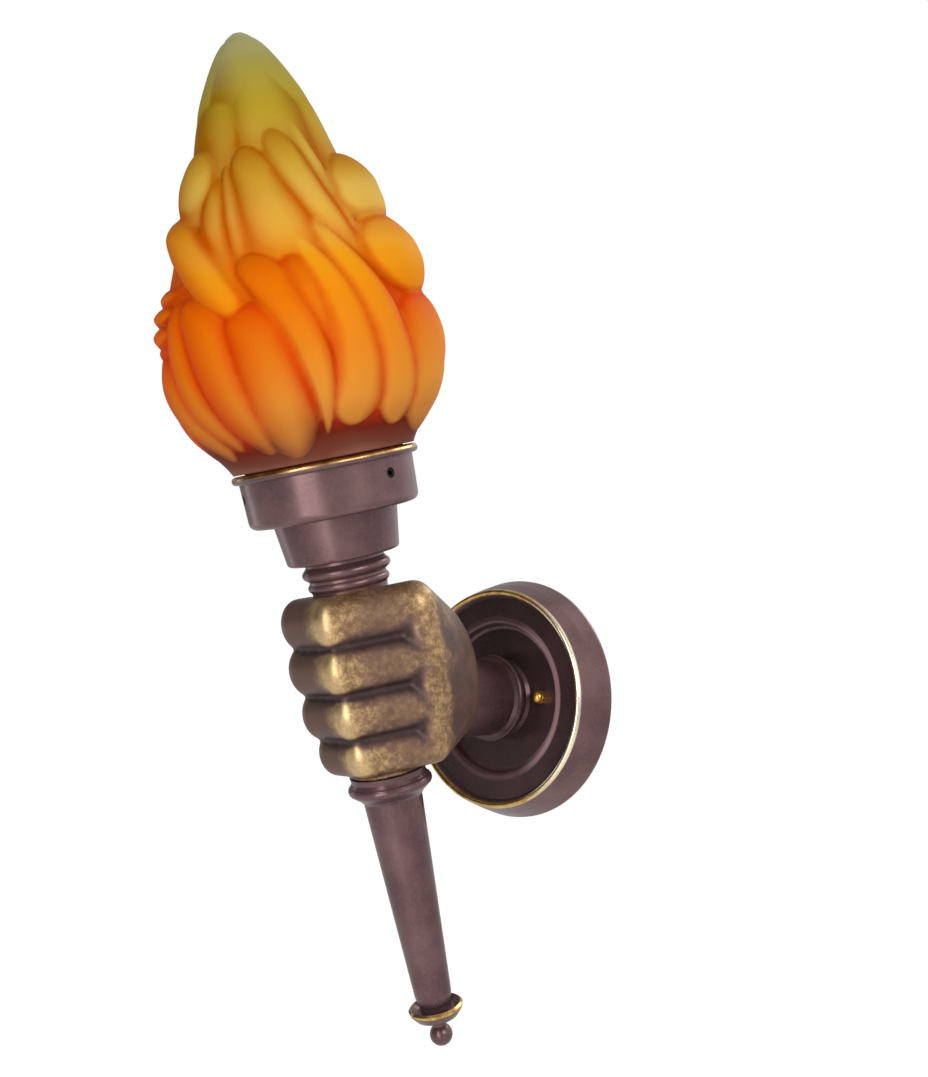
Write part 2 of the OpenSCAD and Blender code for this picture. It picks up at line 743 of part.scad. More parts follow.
// A lead's route from the terminal block, down behind the dish, through the nipple and up the rod
function lead_route(side) = concat(
    smooth([
        wall_point(side * 5, lead_exit_depth, block_foot),
        wall_point(side * 4.6, lead_exit_depth - 0.6, block_foot - 6),
        wall_point(side * 3.4, nipple_back - 0.4, 24),
        wall_point(side * 2, nipple_back - 2.4, 12),
        wall_point(side * lead_x, nipple_back - 2.3, 5),
        wall_point(side * lead_x, nipple_back - 0.6, 1.4),
        wall_point(side * lead_x, nipple_back + 3, 0)], 4),
    [wall_point(side * lead_x, wrist_depth, 0)],
    smooth([
        wall_point(side * lead_x, torch_reach - 8, 0),
        wall_point(side * lead_x, torch_reach - 3.4, 0.5),
        torch_point(side * lead_x, 0.2, 4.2),
        torch_point(side * lead_x, 0, 9)], 4),
    smooth([
        torch_point(side * lead_x, 0, rod_top - 2),
        torch_point(side * (lead_x + 0.3), 0, rod_top + 0.4),
        torch_point(side * (lead_side - 4.4), 0, insert_foot - 1.4),
        torch_point(side * (lead_side - 2.7), 0, insert_foot - 1)], 3));

module live_lead() color([0.5, 0.3, 0.2]) tube(lead_route(-1), lead_d / 2);
module neutral_lead() color([0.2, 0.4, 0.7]) tube(lead_route(1), lead_d / 2);

earth_x = 37;          // place of the earth stud behind the land
earth_z = 36;

module earth_lead()
    color([0.4, 0.65, 0.25]) tube(smooth([
        wall_point(block_length / 2, land_back - 4, block_radius),
        wall_point(block_length / 2 + 5, land_back - 4, block_radius - 1),
        wall_point(earth_x - 8, land_back - 4.6, earth_z + 8),
        wall_point(earth_x - 2.6, land_back - 4.6, earth_z + 2.6)], 4), lead_d / 2);

module earth_stud()
    color(brass) on_wall() translate([earth_x, earth_z, land_back - 8]) cylinder(r = 2, h = 8);

module earth_nut()
    color(brass) on_wall() translate([earth_x, earth_z, land_back - 3.2])
        hex_nut(7, 3.2, 2 + thread_gap);

// Three-way terminal block behind the land, with a round pillar over each pair of screws
module terminal_block()
    color([0.93, 0.92, 0.86]) on_wall() difference() {
        translate([-block_length / 2, block_foot, land_back - block_height])
            cube([block_length, block_width, block_height]);
        for (i = [-1:1], j = [-1, 1])
            translate([i * block_length / 3.2, block_radius + j * 2.6, land_back - block_height - 1])
                cylinder(r = 1.4 + thread_gap, h = 4);
    }

module terminal_screws()
    color(brass) on_wall() for (i = [-1:1], j = [-1, 1])
        translate([i * block_length / 3.2, block_radius + j * 2.6, land_back - block_height])
            cylinder(r = 1.4, h = 3);

// ---- Flame shade ----
// The glass is a smooth body with tongues laid on it. Heights here run from 0 at the flame's foot
// to 1 at its tip, and angles are in degrees about the torch, 0 along +X and -90 straight out.

flame_drawn = 216.5;   // height at which the levels and radii below were drawn

// Radius of the body between its tongues, as [level above the foot, radius]
body_outline = [[0, 47], [3, 48.6], [8, 52], [14, 56.2], [21, 61], [29, 64.8], [39, 67.2],
    [59, 67.2], [69, 66.2], [79, 64.2], [89, 61.2], [99, 57], [109, 52.6], [119, 48.6],
    [129, 44.4], [139, 40.4], [149, 36.4], [159, 33.4], [167, 31], [176, 27.8], [184, 24.2],
    [192, 20], [200, 15.4], [206, 11.8], [211, 8.6], [214.5, 6], [216.5, 3]];

// Each tongue: angle at its root, middle and tip; level of its root and tip; half width in degrees
// at its root and tip; length of its pointed root and of its round tip; how far it stands proud; and
// the turn after which it comes again, 180 for one on both halves of the mould and 360 for a single one
tongues = [
    // petals round the foot
    [[-98, -112, -119], 6, 66, 13, 13, 16, 13, 4.8, 180],
    [[-86, -106, -100], 10, 87, 10, 9, 16, 12, 5, 180],
    [[-70, -80, -87], 6, 89, 11, 14, 16, 15, 6.4, 180],
    [[-57, -55, -63], 2, 79, 15, 14, 16, 15, 7, 180],
    [[-39, -32, -60], 10, 102, 4, 13, 34, 14, 7, 180],
    [[-33, -33, -41], 46, 99, 6, 7.5, 20, 10, 5, 180],
    [[-26, -10, -42], 13, 116, 13, 7, 10, 40, 5.6, 180],
    [[-2, 0, -28], 10, 118, 12, 8.5, 10, 40, 5.4, 180],
    [[27, 26, 24], 4, 74, 25, 24, 14, 20, 4.8, 180],
    [[42, 38, 30], 26, 72, 24, 23, 18, 24, 5.8, 180],
    // scallops on the far left, and the plain tongue beyond the right side
    [[-128, -128, -128], 60, 71, 24, 24, 6, 6, 4, 360],
    [[-128, -128, -128], 67, 80, 24, 24, 6, 7, 7, 360],
    [[-128, -128, -128], 77, 89, 24, 24, 6, 7, 7.4, 360],
    [[-128, -128, -128], 86, 97, 24, 24, 6, 6, 5, 360],
    [[66, 70, 72], 52, 124, 18, 18, 14, 18, 6, 360],
    // middle tongues
    [[-66, -79, -120], 68, 130, 9, 18, 12, 13, 10.4, 180],
    [[-62, -85, -79], 76, 143, 11, 9, 16, 18, 5, 180],
    [[-59, -66, -72], 76, 148, 6, 7, 16, 26, 3.8, 180],
    [[-100, -104, -102], 120, 159, 22, 25, 14, 20, 8.4, 180],
    [[-26, -42, -56], 72, 155, 28, 15, 40, 15, 5, 180],
    [[-3, -18, -34], 84, 162, 9, 16, 30, 18, 4.8, 180],
    [[0, -4, -16], 96, 168, 4, 9, 24, 34, 3.6, 180],
    [[20, 23, 28], 106, 148, 30, 30, 14, 18, 12, 360],
    [[20, 22, 23], 71, 116, 26, 30, 16, 22, 12, 360],
    [[-160, -158, -152], 58, 150, 24, 24, 16, 20, 5, 360],
    // crown, smooth at the tip
    [[-20, -31, -32], 124, 213, 32, 36, 22, 20, 2.4, 180],
    [[-92, -88, -84], 120, 210, 32, 32, 22, 20, 1.4, 180],
    [[26, 28, 30], 120, 206, 28, 30, 22, 20, 1.4, 180],
    [[0, 0, 0], 172, 213, 200, 200, 10, 10, 2.5, 180]];

function between(a, b, u) = a + (b - a) * u;
function clamp(x) = min(1, max(0, x));
function outline_radius(level, i = 1) =
    level <= body_outline[i][0] || i == len(body_outline) - 1
        ? between(body_outline[i - 1][1], body_outline[i][1],
            clamp((level - body_outline[i - 1][0]) / (body_outline[i][0] - body_outline[i - 1][0])))
        : outline_radius(level, i + 1);

// Angle from b to a, brought to the range about 0 that one turn of `period` degrees covers
function turn(a, b, period) = (a - b) - period * floor((a - b) / period + 0.5);

// How far one tongue stands proud at an angle and level: pointed at its root, round at its tip
function tongue(t, angle, level) =
    let (u = (level - t[1]) / (t[2] - t[1]))
    u <= 0 || u >= 1 ? 0
    : let (
        spine = (1 - u) * (1 - u) * t[0][0] + 2 * u * (1 - u) * t[0][1] + u * u * t[0][2],
        point = pow(clamp((level - t[1]) / t[5]), 0.5),
        across = turn(angle, spine, t[8]) / (between(t[3], t[4], u) * point),
        tip = max(0, (level - t[2] + t[6]) / t[6]),
        q = across * across + tip * tip)
    q >= 1 ? 0 : t[7] * between(0.6, 1, clamp(u * 1.6)) * point * pow(1 - q, 0.5);

function relief(angle, level) =
    max([for (t = tongues) tongue(t, angle, level)]);

flame_columns = 80;
flame_rows = 48;
flame_scale = flame_height / flame_drawn;

function flame_radius(angle, level) =
    flame_fullness * outline_radius(level) + tongue_relief * relief(angle, level);

module flame_body() {
    last = flame_rows * flame_columns;
    polyhedron(
        points = [for (row = [0:flame_rows], column = [0:flame_columns - 1])
            let (
                angle = column * 360 / flame_columns,
                level = flame_drawn * row / flame_rows,
                r = flame_radius(angle, level))
            [r * cos(angle), r * sin(angle), flame_foot + level * flame_scale]],
        faces = concat(
            [[for (k = [0:flame_columns - 1]) k]],
            [for (row = [0:flame_rows - 1], k = [0:flame_columns - 1])
                let (a = row * flame_columns + k, b = row * flame_columns + (k + 1) % flame_columns)
                each [[a, a + flame_columns, b + flame_columns], [a, b + flame_columns, b]]],
            [[for (k = [flame_columns - 1:-1:0]) last + k]]));
}

// The hollow follows the body inside, and opens through the neck
hollow_levels = [14, 24, 39, 59, 79, 99, 119, 139, 159, 176];

module flame_hollow() {
    neck_bore = fitter_d / 2 - fitter_wall;
    turned(concat(
        [[0, glass_foot - 1]],
        [[neck_bore, glass_foot - 1]],
        [[neck_bore, flame_foot + 2]],
        [for (level = hollow_levels)
            [flame_fullness * outline_radius(level) - flame_wall, flame_foot + level * flame_scale]],
        [[0, flame_foot + 192 * flame_scale]]));
}

module flame_shade()
    color(flame_orange) on_torch() difference() {
        union() {
            flame_body();
            translate([0, 0, glass_foot]) cylinder(d = fitter_d, h = flame_foot - glass_foot + 1);
        }
        flame_hollow();
    }

// ---- Assembly ----

wall_bracket();
bracket_studs();
wall_plate();
arm_sleeve();
arm_nipple();
arm_washer();
arm_lock_nut();
hand();
torch_rod();
neck_collar();
lower_collar();
handle();
saucer();
end_ball();
socket_cup();
gallery_cup();
cup_rivets();
rod_washer();
rod_lock_nut();
lampholder_cap();
lampholder_insert();
lampholder_skirt();
lampholder_shell();
lampholder_contact();
lampholder_screws();
terminal_block();
terminal_screws();
earth_stud();
earth_nut();
live_lead();
neutral_lead();
earth_lead();
flame_shade();
lamp_globe();
lamp_cap();
lamp_contact();
shade_screw(1);  // shade_screw_1
shade_screw(2);  // shade_screw_2
shade_screw(3);  // shade_screw_3
cap_nut(-1);  // cap_nut_left
cap_nut(1);  // cap_nut_right
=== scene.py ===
import math

import bmesh
import bpy
import numpy as np
from mathutils import Matrix, Vector


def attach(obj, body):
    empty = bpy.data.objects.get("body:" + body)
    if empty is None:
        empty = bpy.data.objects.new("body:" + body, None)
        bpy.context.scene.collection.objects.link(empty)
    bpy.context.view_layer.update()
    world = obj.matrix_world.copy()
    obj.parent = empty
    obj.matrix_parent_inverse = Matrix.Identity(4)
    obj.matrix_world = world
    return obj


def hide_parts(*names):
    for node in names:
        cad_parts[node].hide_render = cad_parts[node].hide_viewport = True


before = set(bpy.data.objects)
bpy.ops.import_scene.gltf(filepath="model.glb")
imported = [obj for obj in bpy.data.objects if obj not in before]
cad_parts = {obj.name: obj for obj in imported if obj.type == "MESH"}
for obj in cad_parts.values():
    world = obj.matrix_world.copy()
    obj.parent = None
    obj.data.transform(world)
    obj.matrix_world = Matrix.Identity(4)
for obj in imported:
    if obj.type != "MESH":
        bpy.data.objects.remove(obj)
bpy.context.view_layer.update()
print("scene: frame loaded")


# Metres. The torch has its own axes: +X, a second one leaning towards the wall, and the torch's
# length, counted from the point of its axis straight in front of the plate's centre.
millimetre = 0.001
torch = {"tilt": math.radians(16.3), "reach": 117.4 * millimetre}
torchAxis = Vector((0, -math.sin(torch["tilt"]), math.cos(torch["tilt"])))
torchSide = Vector((0, math.cos(torch["tilt"]), math.sin(torch["tilt"])))
torchOrigin = Vector((0, -torch["reach"], 0))
torchMatrix = Matrix.Translation(torchOrigin) @ Matrix.Rotation(torch["tilt"], 4, "X")


# A value in a node tree. Arithmetic on it adds Math nodes.
class Field:
    def __init__(self, nodes, socket):
        self.nodes = nodes
        self.socket = socket

    def math(self, operation, *others):
        entries = dict(enumerate((self, *others)))
        return self.nodes.field(self.nodes.add("ShaderNodeMath", {"operation": operation}, entries))

    def __add__(self, other):
        return self.math("ADD", other)

    __radd__ = __add__

    def __sub__(self, other):
        return self.math("SUBTRACT", other)

    def __rsub__(self, other):
        return (self * -1.0) + other

    def __mul__(self, other):
        return self.math("MULTIPLY", other)

    __rmul__ = __mul__

    def __truediv__(self, other):
        return self.math("DIVIDE", other)

    def atLeast(self, other):
        return self.math("MAXIMUM", other)

    def atMost(self, other):
        return self.math("MINIMUM", other)

    def clamped(self):
        return self.atLeast(0.0).atMost(1.0)

    def wrapped(self, low, high):
        return self.math("WRAP", high, low)

    def step(self, low, high):    # smoothly from 0 at low to 1 at high
        u = ((self - low) / (high - low)).clamped()
        return u * u * (3.0 - 2.0 * u)

    def band(self, low, high, soft):    # 1 between low and high, falling to 0 over soft on each side
        return self.step(low - soft, low) * (1.0 - self.step(high, high + soft))


# Scene colour from a display colour of 0 to 255.
def linear(colour):
    def channel(c):
        c = c / 255
        return c / 12.92 if c <= 0.04045 else ((c + 0.055) / 1.055) ** 2.4
    return tuple(channel(c) for c in colour) + (1.0,)


# One node tree, to which nodes are added with their settings first and then their sockets.
class Nodes:
    def __init__(self, tree):
        self.tree = tree

    def add(self, kind, settings=None, entries=None):
        made = self.tree.nodes.new(kind)
        for name, value in (settings or {}).items():
            if name == "stops":
                self.setStops(made.color_ramp.elements, value)
            else:
                setattr(made, name, value)
        for name, value in (entries or {}).items():
            self.put(value, made.inputs[name])
        return made

    def setStops(self, points, stops):    # stops of (amount, display colour)
        while len(points) < len(stops):
            points.new(0.5)
        for point, (position, colour) in zip(points, stops):
            point.position = position
            point.color = linear(colour)

    def put(self, value, entry):    # links a field or a socket, or sets a plain value
        if isinstance(value, Field):
            value = value.socket
        if isinstance(value, bpy.types.NodeSocket):
            self.tree.links.new(value, entry)
        else:
            entry.default_value = value

    def field(self, node, output=0):
        return Field(self, node.outputs[output])


# A procedural material: its tree, its shader and the patterns it is made from.
class Surface(Nodes):
    def __init__(self, name, **fixed):
        self.material = bpy.data.materials.new(name)
        self.material.use_nodes = True
        super().__init__(self.material.node_tree)
        self.shader = self.tree.nodes["Principled BSDF"]
        for entry, value in fixed.items():
            self.set(entry.replace("_", " "), value)
        self.place = self.add("ShaderNodeTexCoord").outputs["Object"]

    def set(self, entry, value):
        self.put(value, self.shader.inputs[entry])

    def attribute(self, name):
        return self.field(self.add("ShaderNodeAttribute", {"attribute_name": name}), "Fac")

    # Noise of about 0 to 1, with scale in waves per metre.
    def noise(self, scale, detail=3.0, roughness=0.55, stretch=None):
        place = self.place
        if stretch:
            place = self.add("ShaderNodeMapping", entries={"Vector": place, "Scale": stretch}).outputs["Vector"]
        return self.field(self.add("ShaderNodeTexNoise", entries={
            "Vector": place, "Scale": scale, "Detail": detail, "Roughness": roughness}))

    # Distance in millimetres along a direction from a start point.
    def along(self, direction, start=(0, 0, 0)):
        moved = self.add("ShaderNodeVectorMath", {"operation": "SUBTRACT"}, {0: self.place, 1: start})
        dot = self.add("ShaderNodeVectorMath", {"operation": "DOT_PRODUCT"}, {0: moved.outputs[0], 1: direction})
        return self.field(dot, "Value") * 1000.0

    # Height along the torch and radius from its axis, in millimetres.
    def torchPlace(self):
        level = self.along(torchAxis, torchOrigin)
        x = self.along((1, 0, 0), torchOrigin)
        y = self.along(torchSide, torchOrigin)
        return level, (x * x + y * y).math("SQRT")

    # Depth from the wall and radius from the plate's centre, in millimetres.
    def wallRings(self):
        depth = self.along((0, -1, 0))
        x = self.along((1, 0, 0))
        z = self.along((0, 0, 1))
        return depth, (x * x + z * z).math("SQRT")

    # A mix of two colours, each one fixed or the result of an earlier mix.
    def colours(self, low, high, amount):
        low, high = (linear(c) if isinstance(c, tuple) else c for c in (low, high))
        return self.add("ShaderNodeMix", {"data_type": "RGBA"}, {0: amount, 6: low, 7: high}).outputs[2]

    def ramp(self, amount, stops):
        return self.add("ShaderNodeValToRGB", {"stops": stops}, {0: amount}).outputs[0]

    # Height of 0 to 1 over a distance in millimetres.
    def bump(self, height, distance, strength=1.0):
        made = self.add("ShaderNodeBump", entries={
            "Strength": strength, "Distance": distance * millimetre, "Height": height})
        self.set("Normal", made.outputs[0])


shot = {
    "azimuth": 41.85,
    "elevation": -7.4,
    "roll": -0.27,
    "distance": 0.764,
    "target": (0.0133, -0.06, 0.0873),
    "lens": 46.03,
    "sensor": 36,
    "clip": (0.01, 50),
}


def makeCamera():
    azimuth, elevation = math.radians(shot["azimuth"]), math.radians(shot["elevation"])
    back = Vector((
        math.sin(azimuth) * math.cos(elevation),
        -math.cos(azimuth) * math.cos(elevation),
        math.sin(elevation)))
    data = bpy.data.cameras.new("camera")
    data.lens = shot["lens"]
    data.sensor_width = shot["sensor"]
    data.clip_start, data.clip_end = shot["clip"]
    camera = bpy.data.objects.new("camera", data)
    camera.location = Vector(shot["target"]) + back * shot["distance"]
    roll = Matrix.Rotation(math.radians(shot["roll"]), 3, "Z").to_quaternion()
    camera.rotation_mode = "QUATERNION"
    camera.rotation_quaternion = (-back).to_track_quat("-Z", "Y") @ roll
    bpy.context.scene.collection.objects.link(camera)
    bpy.context.scene.camera = camera


stage = {
    "size": 60.0,
    "height": -0.75,
    "floor": 0.86,
    "rough": 0.9,
    "glow": 1.08,
    "glowShare": 0.9,    # how much of the floor's shadow the glow hides from the camera
    "right": (0.667, 0.745),    # the side of the room that is bright
    "dim": 0.14,
    "bright": 1.1,
    "above": 0.12,
    "mirror": 1.1,    # brightest and darkest that polished metal mirrors
    "edge": 0.06,
}


# A pale floor that keeps its shadow.
def makeFloor():
    half = stage["size"] / 2
    corners = [(-half, -half), (half, -half), (half, half), (-half, half)]
    mesh = bpy.data.meshes.new("floor")
    mesh.from_pydata([(x, y, stage["height"]) for x, y in corners], [], [(0, 1, 2, 3)])
    floor = bpy.data.objects.new("floor", mesh)
    bpy.context.scene.collection.objects.link(floor)
    white = (stage["floor"],) * 3 + (1,)
    ground = Surface("floor", Base_Color=white, Roughness=stage["rough"])
    glow = ground.add("ShaderNodeEmission", entries={"Strength": stage["glow"]})
    seen = ground.field(ground.add("ShaderNodeLightPath"), "Is Camera Ray")
    mix = ground.add("ShaderNodeMixShader", entries={
        0: seen * stage["glowShare"], 1: ground.shader.outputs[0], 2: glow.outputs[0]})
    ground.put(mix.outputs[0], ground.tree.nodes["Material Output"].inputs["Surface"])
    mesh.materials.append(ground.material)


# A world that the camera sees white, and that lights the object from its bright side.
def makeWorld():
    world = bpy.data.worlds.new("world")
    bpy.context.scene.world = world
    world.use_nodes = True
    nodes = Nodes(world.node_tree)
    path = nodes.add("ShaderNodeLightPath")
    shown = nodes.field(path, "Is Camera Ray").atLeast(nodes.field(path, "Is Transmission Ray"))
    mirrored = nodes.field(path, "Is Glossy Ray")
    place = nodes.add("ShaderNodeTexCoord").outputs["Generated"]
    split = nodes.add("ShaderNodeSeparateXYZ", entries={0: place})
    x, y, height = (nodes.field(split, k) for k in range(3))
    side = ((x * stage["right"][0] + y * stage["right"][1]) * 0.5 + 0.5).clamped()
    room = side * (stage["bright"] - stage["dim"]) + stage["dim"] + height.atLeast(0.0) * stage["above"]
    glint = side * (side * 0.5 + 0.5) * stage["mirror"] + stage["edge"]
    room = room * (1.0 - mirrored) + glint * mirrored
    sky = nodes.tree.nodes["Background"]
    nodes.put((1, 1, 1, 1), sky.inputs["Color"])
    nodes.put(shown + (1.0 - shown) * room, sky.inputs["Strength"])


# Softboxes that all look at the middle of the torch. Key and strip draw the light bands on the metal.
lamps = {
    "key": {"at": (0.25, -1.5, 0.15), "size": (0.3, 1.5), "power": 7.8},
    "strip": {"at": (0.6, -1.35, -0.3), "size": (0.3, 1.3), "power": 3.8},
    "side": {"at": (-1.35, -0.3, 0.1), "size": (0.2, 0.9), "power": 0.8},
    "fill": {"at": (1.5, -0.5, 0.5), "size": (0.8, 0.8), "power": 9.0},
    "back": {"at": (0.3, 0.9, 0.9), "size": (0.8, 0.5), "power": 4.0},
}
lampAim = Vector((0, -0.12, 0.08))


def makeLamps():
    for name, lamp in lamps.items():
        data = bpy.data.lights.new(name, "AREA")
        data.shape = "RECTANGLE"
        data.size, data.size_y = lamp["size"]
        data.energy = lamp["power"]
        made = bpy.data.objects.new(name, data)
        made.location = lamp["at"]
        aim = lampAim - made.location
        made.rotation_mode = "QUATERNION"
        made.rotation_quaternion = aim.to_track_quat("-Z", "Y")
        bpy.context.scene.collection.objects.link(made)


bpy.context.scene.view_settings.view_transform = "Standard"
makeCamera()
makeFloor()
makeWorld()
makeLamps()
print("scene: camera, floor and lamps")


def newPiece(name, points, faces):
    mesh = bpy.data.meshes.new(name)
    mesh.from_pydata([tuple(p) for p in points], [], faces)
    mesh.update()
    piece = bpy.data.objects.new(name, mesh)
    bpy.context.scene.collection.objects.link(piece)
    mesh.shade_smooth()
    return piece


def addValues(mesh, name, values):
    attribute = mesh.attributes.new(name, "FLOAT", "POINT")
    attribute.data.foreach_set("value", np.asarray(values, dtype=np.float32))


def meshValues(mesh, name):
    values = np.empty(len(mesh.vertices), dtype=np.float32)
    mesh.attributes[name].data.foreach_get("value", values)
    return values


def meshPoints(mesh):
    points = np.empty(len(mesh.vertices) * 3)
    mesh.vertices.foreach_get("co", points)
    return points.reshape(-1, 3)


# The piece's mesh becomes what its modifiers make of it, and they are removed.
def applyModifiers(piece):
    bpy.context.view_layer.update()
    seen = piece.evaluated_get(bpy.context.evaluated_depsgraph_get())
    mesh = bpy.data.meshes.new_from_object(seen)
    piece.modifiers.clear()
    old, name = piece.data, piece.data.name
    piece.data = mesh
    bpy.data.meshes.remove(old)
    mesh.name = name
    return mesh


# A tree with named sizes, and the node that hands them in.
def newGeometryTree(name, sizes):
    tree = bpy.data.node_groups.new(name, "GeometryNodeTree")
    tree.interface.new_socket("Geometry", in_out="INPUT", socket_type="NodeSocketGeometry")
    for label, value in sizes.items():
        made = tree.interface.new_socket(label, in_out="INPUT", socket_type="NodeSocketFloat")
        made.default_value = value
    tree.interface.new_socket("Material", in_out="INPUT", socket_type="NodeSocketMaterial")
    tree.interface.new_socket("Geometry", in_out="OUTPUT", socket_type="NodeSocketGeometry")
    nodes = Nodes(tree)
    return nodes, nodes.add("NodeGroupInput")


# Ends a tree in Realize Instances and Set Material.
def finishGeometryTree(nodes, entry, geometry):
    real = nodes.add("GeometryNodeRealizeInstances", entries={0: geometry})
    paint = nodes.add("GeometryNodeSetMaterial", entries={
        "Geometry": real.outputs[0], "Material": entry.outputs["Material"]})
    nodes.add("NodeGroupOutput", entries={0: paint.outputs[0]})
    return nodes.tree


def placeParts(nodes):
    split = nodes.add("ShaderNodeSeparateXYZ", entries={0: nodes.add("GeometryNodeInputPosition").outputs[0]})
    return [nodes.field(split, k) for k in range(3)]


# An offset away from the Z axis, by an amount in metres.
def outward(nodes, x, y, amount):
    share = amount / (x * x + y * y).math("SQRT").atLeast(1e-6)
    return nodes.add("ShaderNodeCombineXYZ", entries={0: x * share, 1: y * share}).outputs[0]


# Runs a tree on a piece. Its inputs are set by their sockets' identifiers.
def growWithTree(piece, tree, inputs):
    modifier = piece.modifiers.new(tree.name, "NODES")
    modifier.node_group = tree
    for item in tree.interface.items_tree:
        if item.item_type == "SOCKET" and item.in_out == "INPUT" and item.name in inputs:
            modifier[item.identifier] = inputs[item.name]
    return applyModifiers(piece)


# Rings of points round the torch from (radius, level) in millimetres, with their angles.
def turnedPoints(outline, columns):
    angles = np.radians(np.arange(columns) * 360 / columns)
    radius, level = np.array(outline).T
    x = np.outer(radius, np.cos(angles))
    y = np.outer(radius, np.sin(angles))
    z = np.outer(level, np.ones(columns))
    local = np.stack([x, y, z], axis=-1).reshape(-1, 3) * millimetre
    return local, np.degrees(np.tile(angles, len(radius)))


# Faces between rings that run so that their outside faces out, with both ends closed.
def turnedFaces(rings, columns):
    faces = []
    for row in range(rings - 1):
        low, high = row * columns, (row + 1) * columns
        for k in range(columns):
            n = (k + 1) % columns
            faces.append((low + k, low + n, high + n, high + k))
    faces.append(tuple(range(columns))[::-1])
    faces.append(tuple(range((rings - 1) * columns, rings * columns)))
    return faces


# Torch places in metres brought to the row frame.
def toTorch(points):
    matrix = np.array(torchMatrix)
    return points @ matrix[:3, :3].T + matrix[:3, 3]


# Satin mauve-brown lacquer with painted shade where the plate is sunk, a painted reflection on the dish's edge,
# and gilt on three edges.
lacquer = {
    "shadow": (92, 67, 68),
    "plain": (112, 84, 84),
    "grain": (132, 102, 104),
    # painted shade in the plate's sunk face and at the arm
    "sunk": (44, 33, 34),
    # painted reflection on the dish's edge
    "paintedCoveSheen": (196, 158, 160),
    "gilt": ((176, 134, 74), (222, 184, 118)),
    # painted highlight on the gilt ridge's +X side
    "giltLit": (252, 240, 212),
    "rough": 0.25,
    "metal": 0.6,
    # places in millimetres: levels and radii on the torch, depths and radii on the plate
    "beadLevel": (123.2, 124.0),
    "beadRadius": (45.0, 45.8),
    "saucerLevel": (-172.2, -171.4),
    "saucerRadius": (13.2, 13.9),
    "ridgeRadius": (59.2, 62.6),
    "ridgeDepth": (19.6, 20.4),
    "faceRadius": (57.5, 59.5),
    "armDepth": (30.0, 60.0),
    "coveRadius": (40.5, 46.0),
}


def beadGilt(paint):
    level, radius = paint.torchPlace()
    return level.step(*lacquer["beadLevel"]) * radius.step(*lacquer["beadRadius"])


def saucerGilt(paint):
    level, radius = paint.torchPlace()
    return radius.step(*lacquer["saucerRadius"]) * level.step(*lacquer["saucerLevel"])


def ridgeGilt(paint):
    depth, radius = paint.wallRings()
    return radius.band(*lacquer["ridgeRadius"], 0.5) * depth.step(*lacquer["ridgeDepth"])


# The plate's +X side, where the painted reflection on the dish's edge and the painted highlight on the gilt ridge
# are put.
def paintedSheenSide(paint, radius):
    return (paint.along((1, 0, 0)) / radius.atLeast(1.0)).step(0.3, 0.85)


# Painted shade inside the ridge and at the arm's far end, and a painted reflection on the dish's edge on the
# plate's +X side.
def recessShadeAndSheen(paint, colour):
    depth, radius = paint.wallRings()
    cove = radius.band(*lacquer["coveRadius"], 1.5)
    inside = (1.0 - radius.step(*lacquer["faceRadius"])) * (1.0 - depth.step(*lacquer["armDepth"]))
    colour = paint.colours(colour, lacquer["sunk"], inside * (1.0 - cove) * 0.55)
    return paint.colours(colour, lacquer["paintedCoveSheen"], cove * paintedSheenSide(paint, radius) * 0.85)


def brownMetal(name, gilt=None, paintedLight=None):
    paint = Surface(name, Specular_IOR_Level=0.4)
    cloud = paint.noise(38.0, 4.0)
    grain = paint.noise(700.0, 2.0)
    colour = paint.colours(lacquer["shadow"], lacquer["plain"], cloud.step(0.3, 0.7))
    colour = paint.colours(colour, lacquer["grain"], grain.step(0.45, 0.7) * 0.2)
    rough = lacquer["rough"] + cloud * 0.06
    metal = lacquer["metal"]
    # painted shade and a painted reflection on the plate and the arm
    if paintedLight:
        colour = paintedLight(paint, colour)
    if gilt:
        mask = gilt(paint) * (0.8 + paint.noise(500.0, 3.0).step(0.3, 0.42) * 0.2)
        gold = paint.colours(*lacquer["gilt"], paint.noise(160.0).step(0.35, 0.65))
        # painted highlight on the gilt on the plate's +X side
        if paintedLight:
            gold = paint.colours(gold, lacquer["giltLit"], paintedSheenSide(paint, paint.wallRings()[1]) * 0.85)
        colour = paint.colours(colour, gold, mask)
        rough = rough - mask * 0.05
        metal = mask * (1.0 - metal) + metal
    paint.set("Metallic", metal)
    paint.set("Base Color", colour)
    paint.set("Roughness", rough)
    paint.bump(grain * 0.5 + cloud * 0.5, 0.03, 0.1)
    return paint.material


# Antique brass on the casting: dark brown patina in the hollows, brass on the fingers' backs, and painted shade on
# the fingertips and on the side towards the wall.
casting = {
    "brown": ((58, 42, 40), (96, 70, 62)),
    "bronze": (112, 84, 68),
    "brass": ((148, 116, 76), (214, 180, 130)),
    # painted highlight on the fingers' second joints
    "jointHighlight": (228, 198, 146),
    "jointHighlightPlace": (3.0, 9.0, 7.0),    # across the torch in millimetres, where the second joints stand
    # a darker band along the middle of the fingers' backs, lighter again at the knuckles
    "dullFrom": (14.0, 28.0),
    "dullTo": (34.0, 40.0),
}


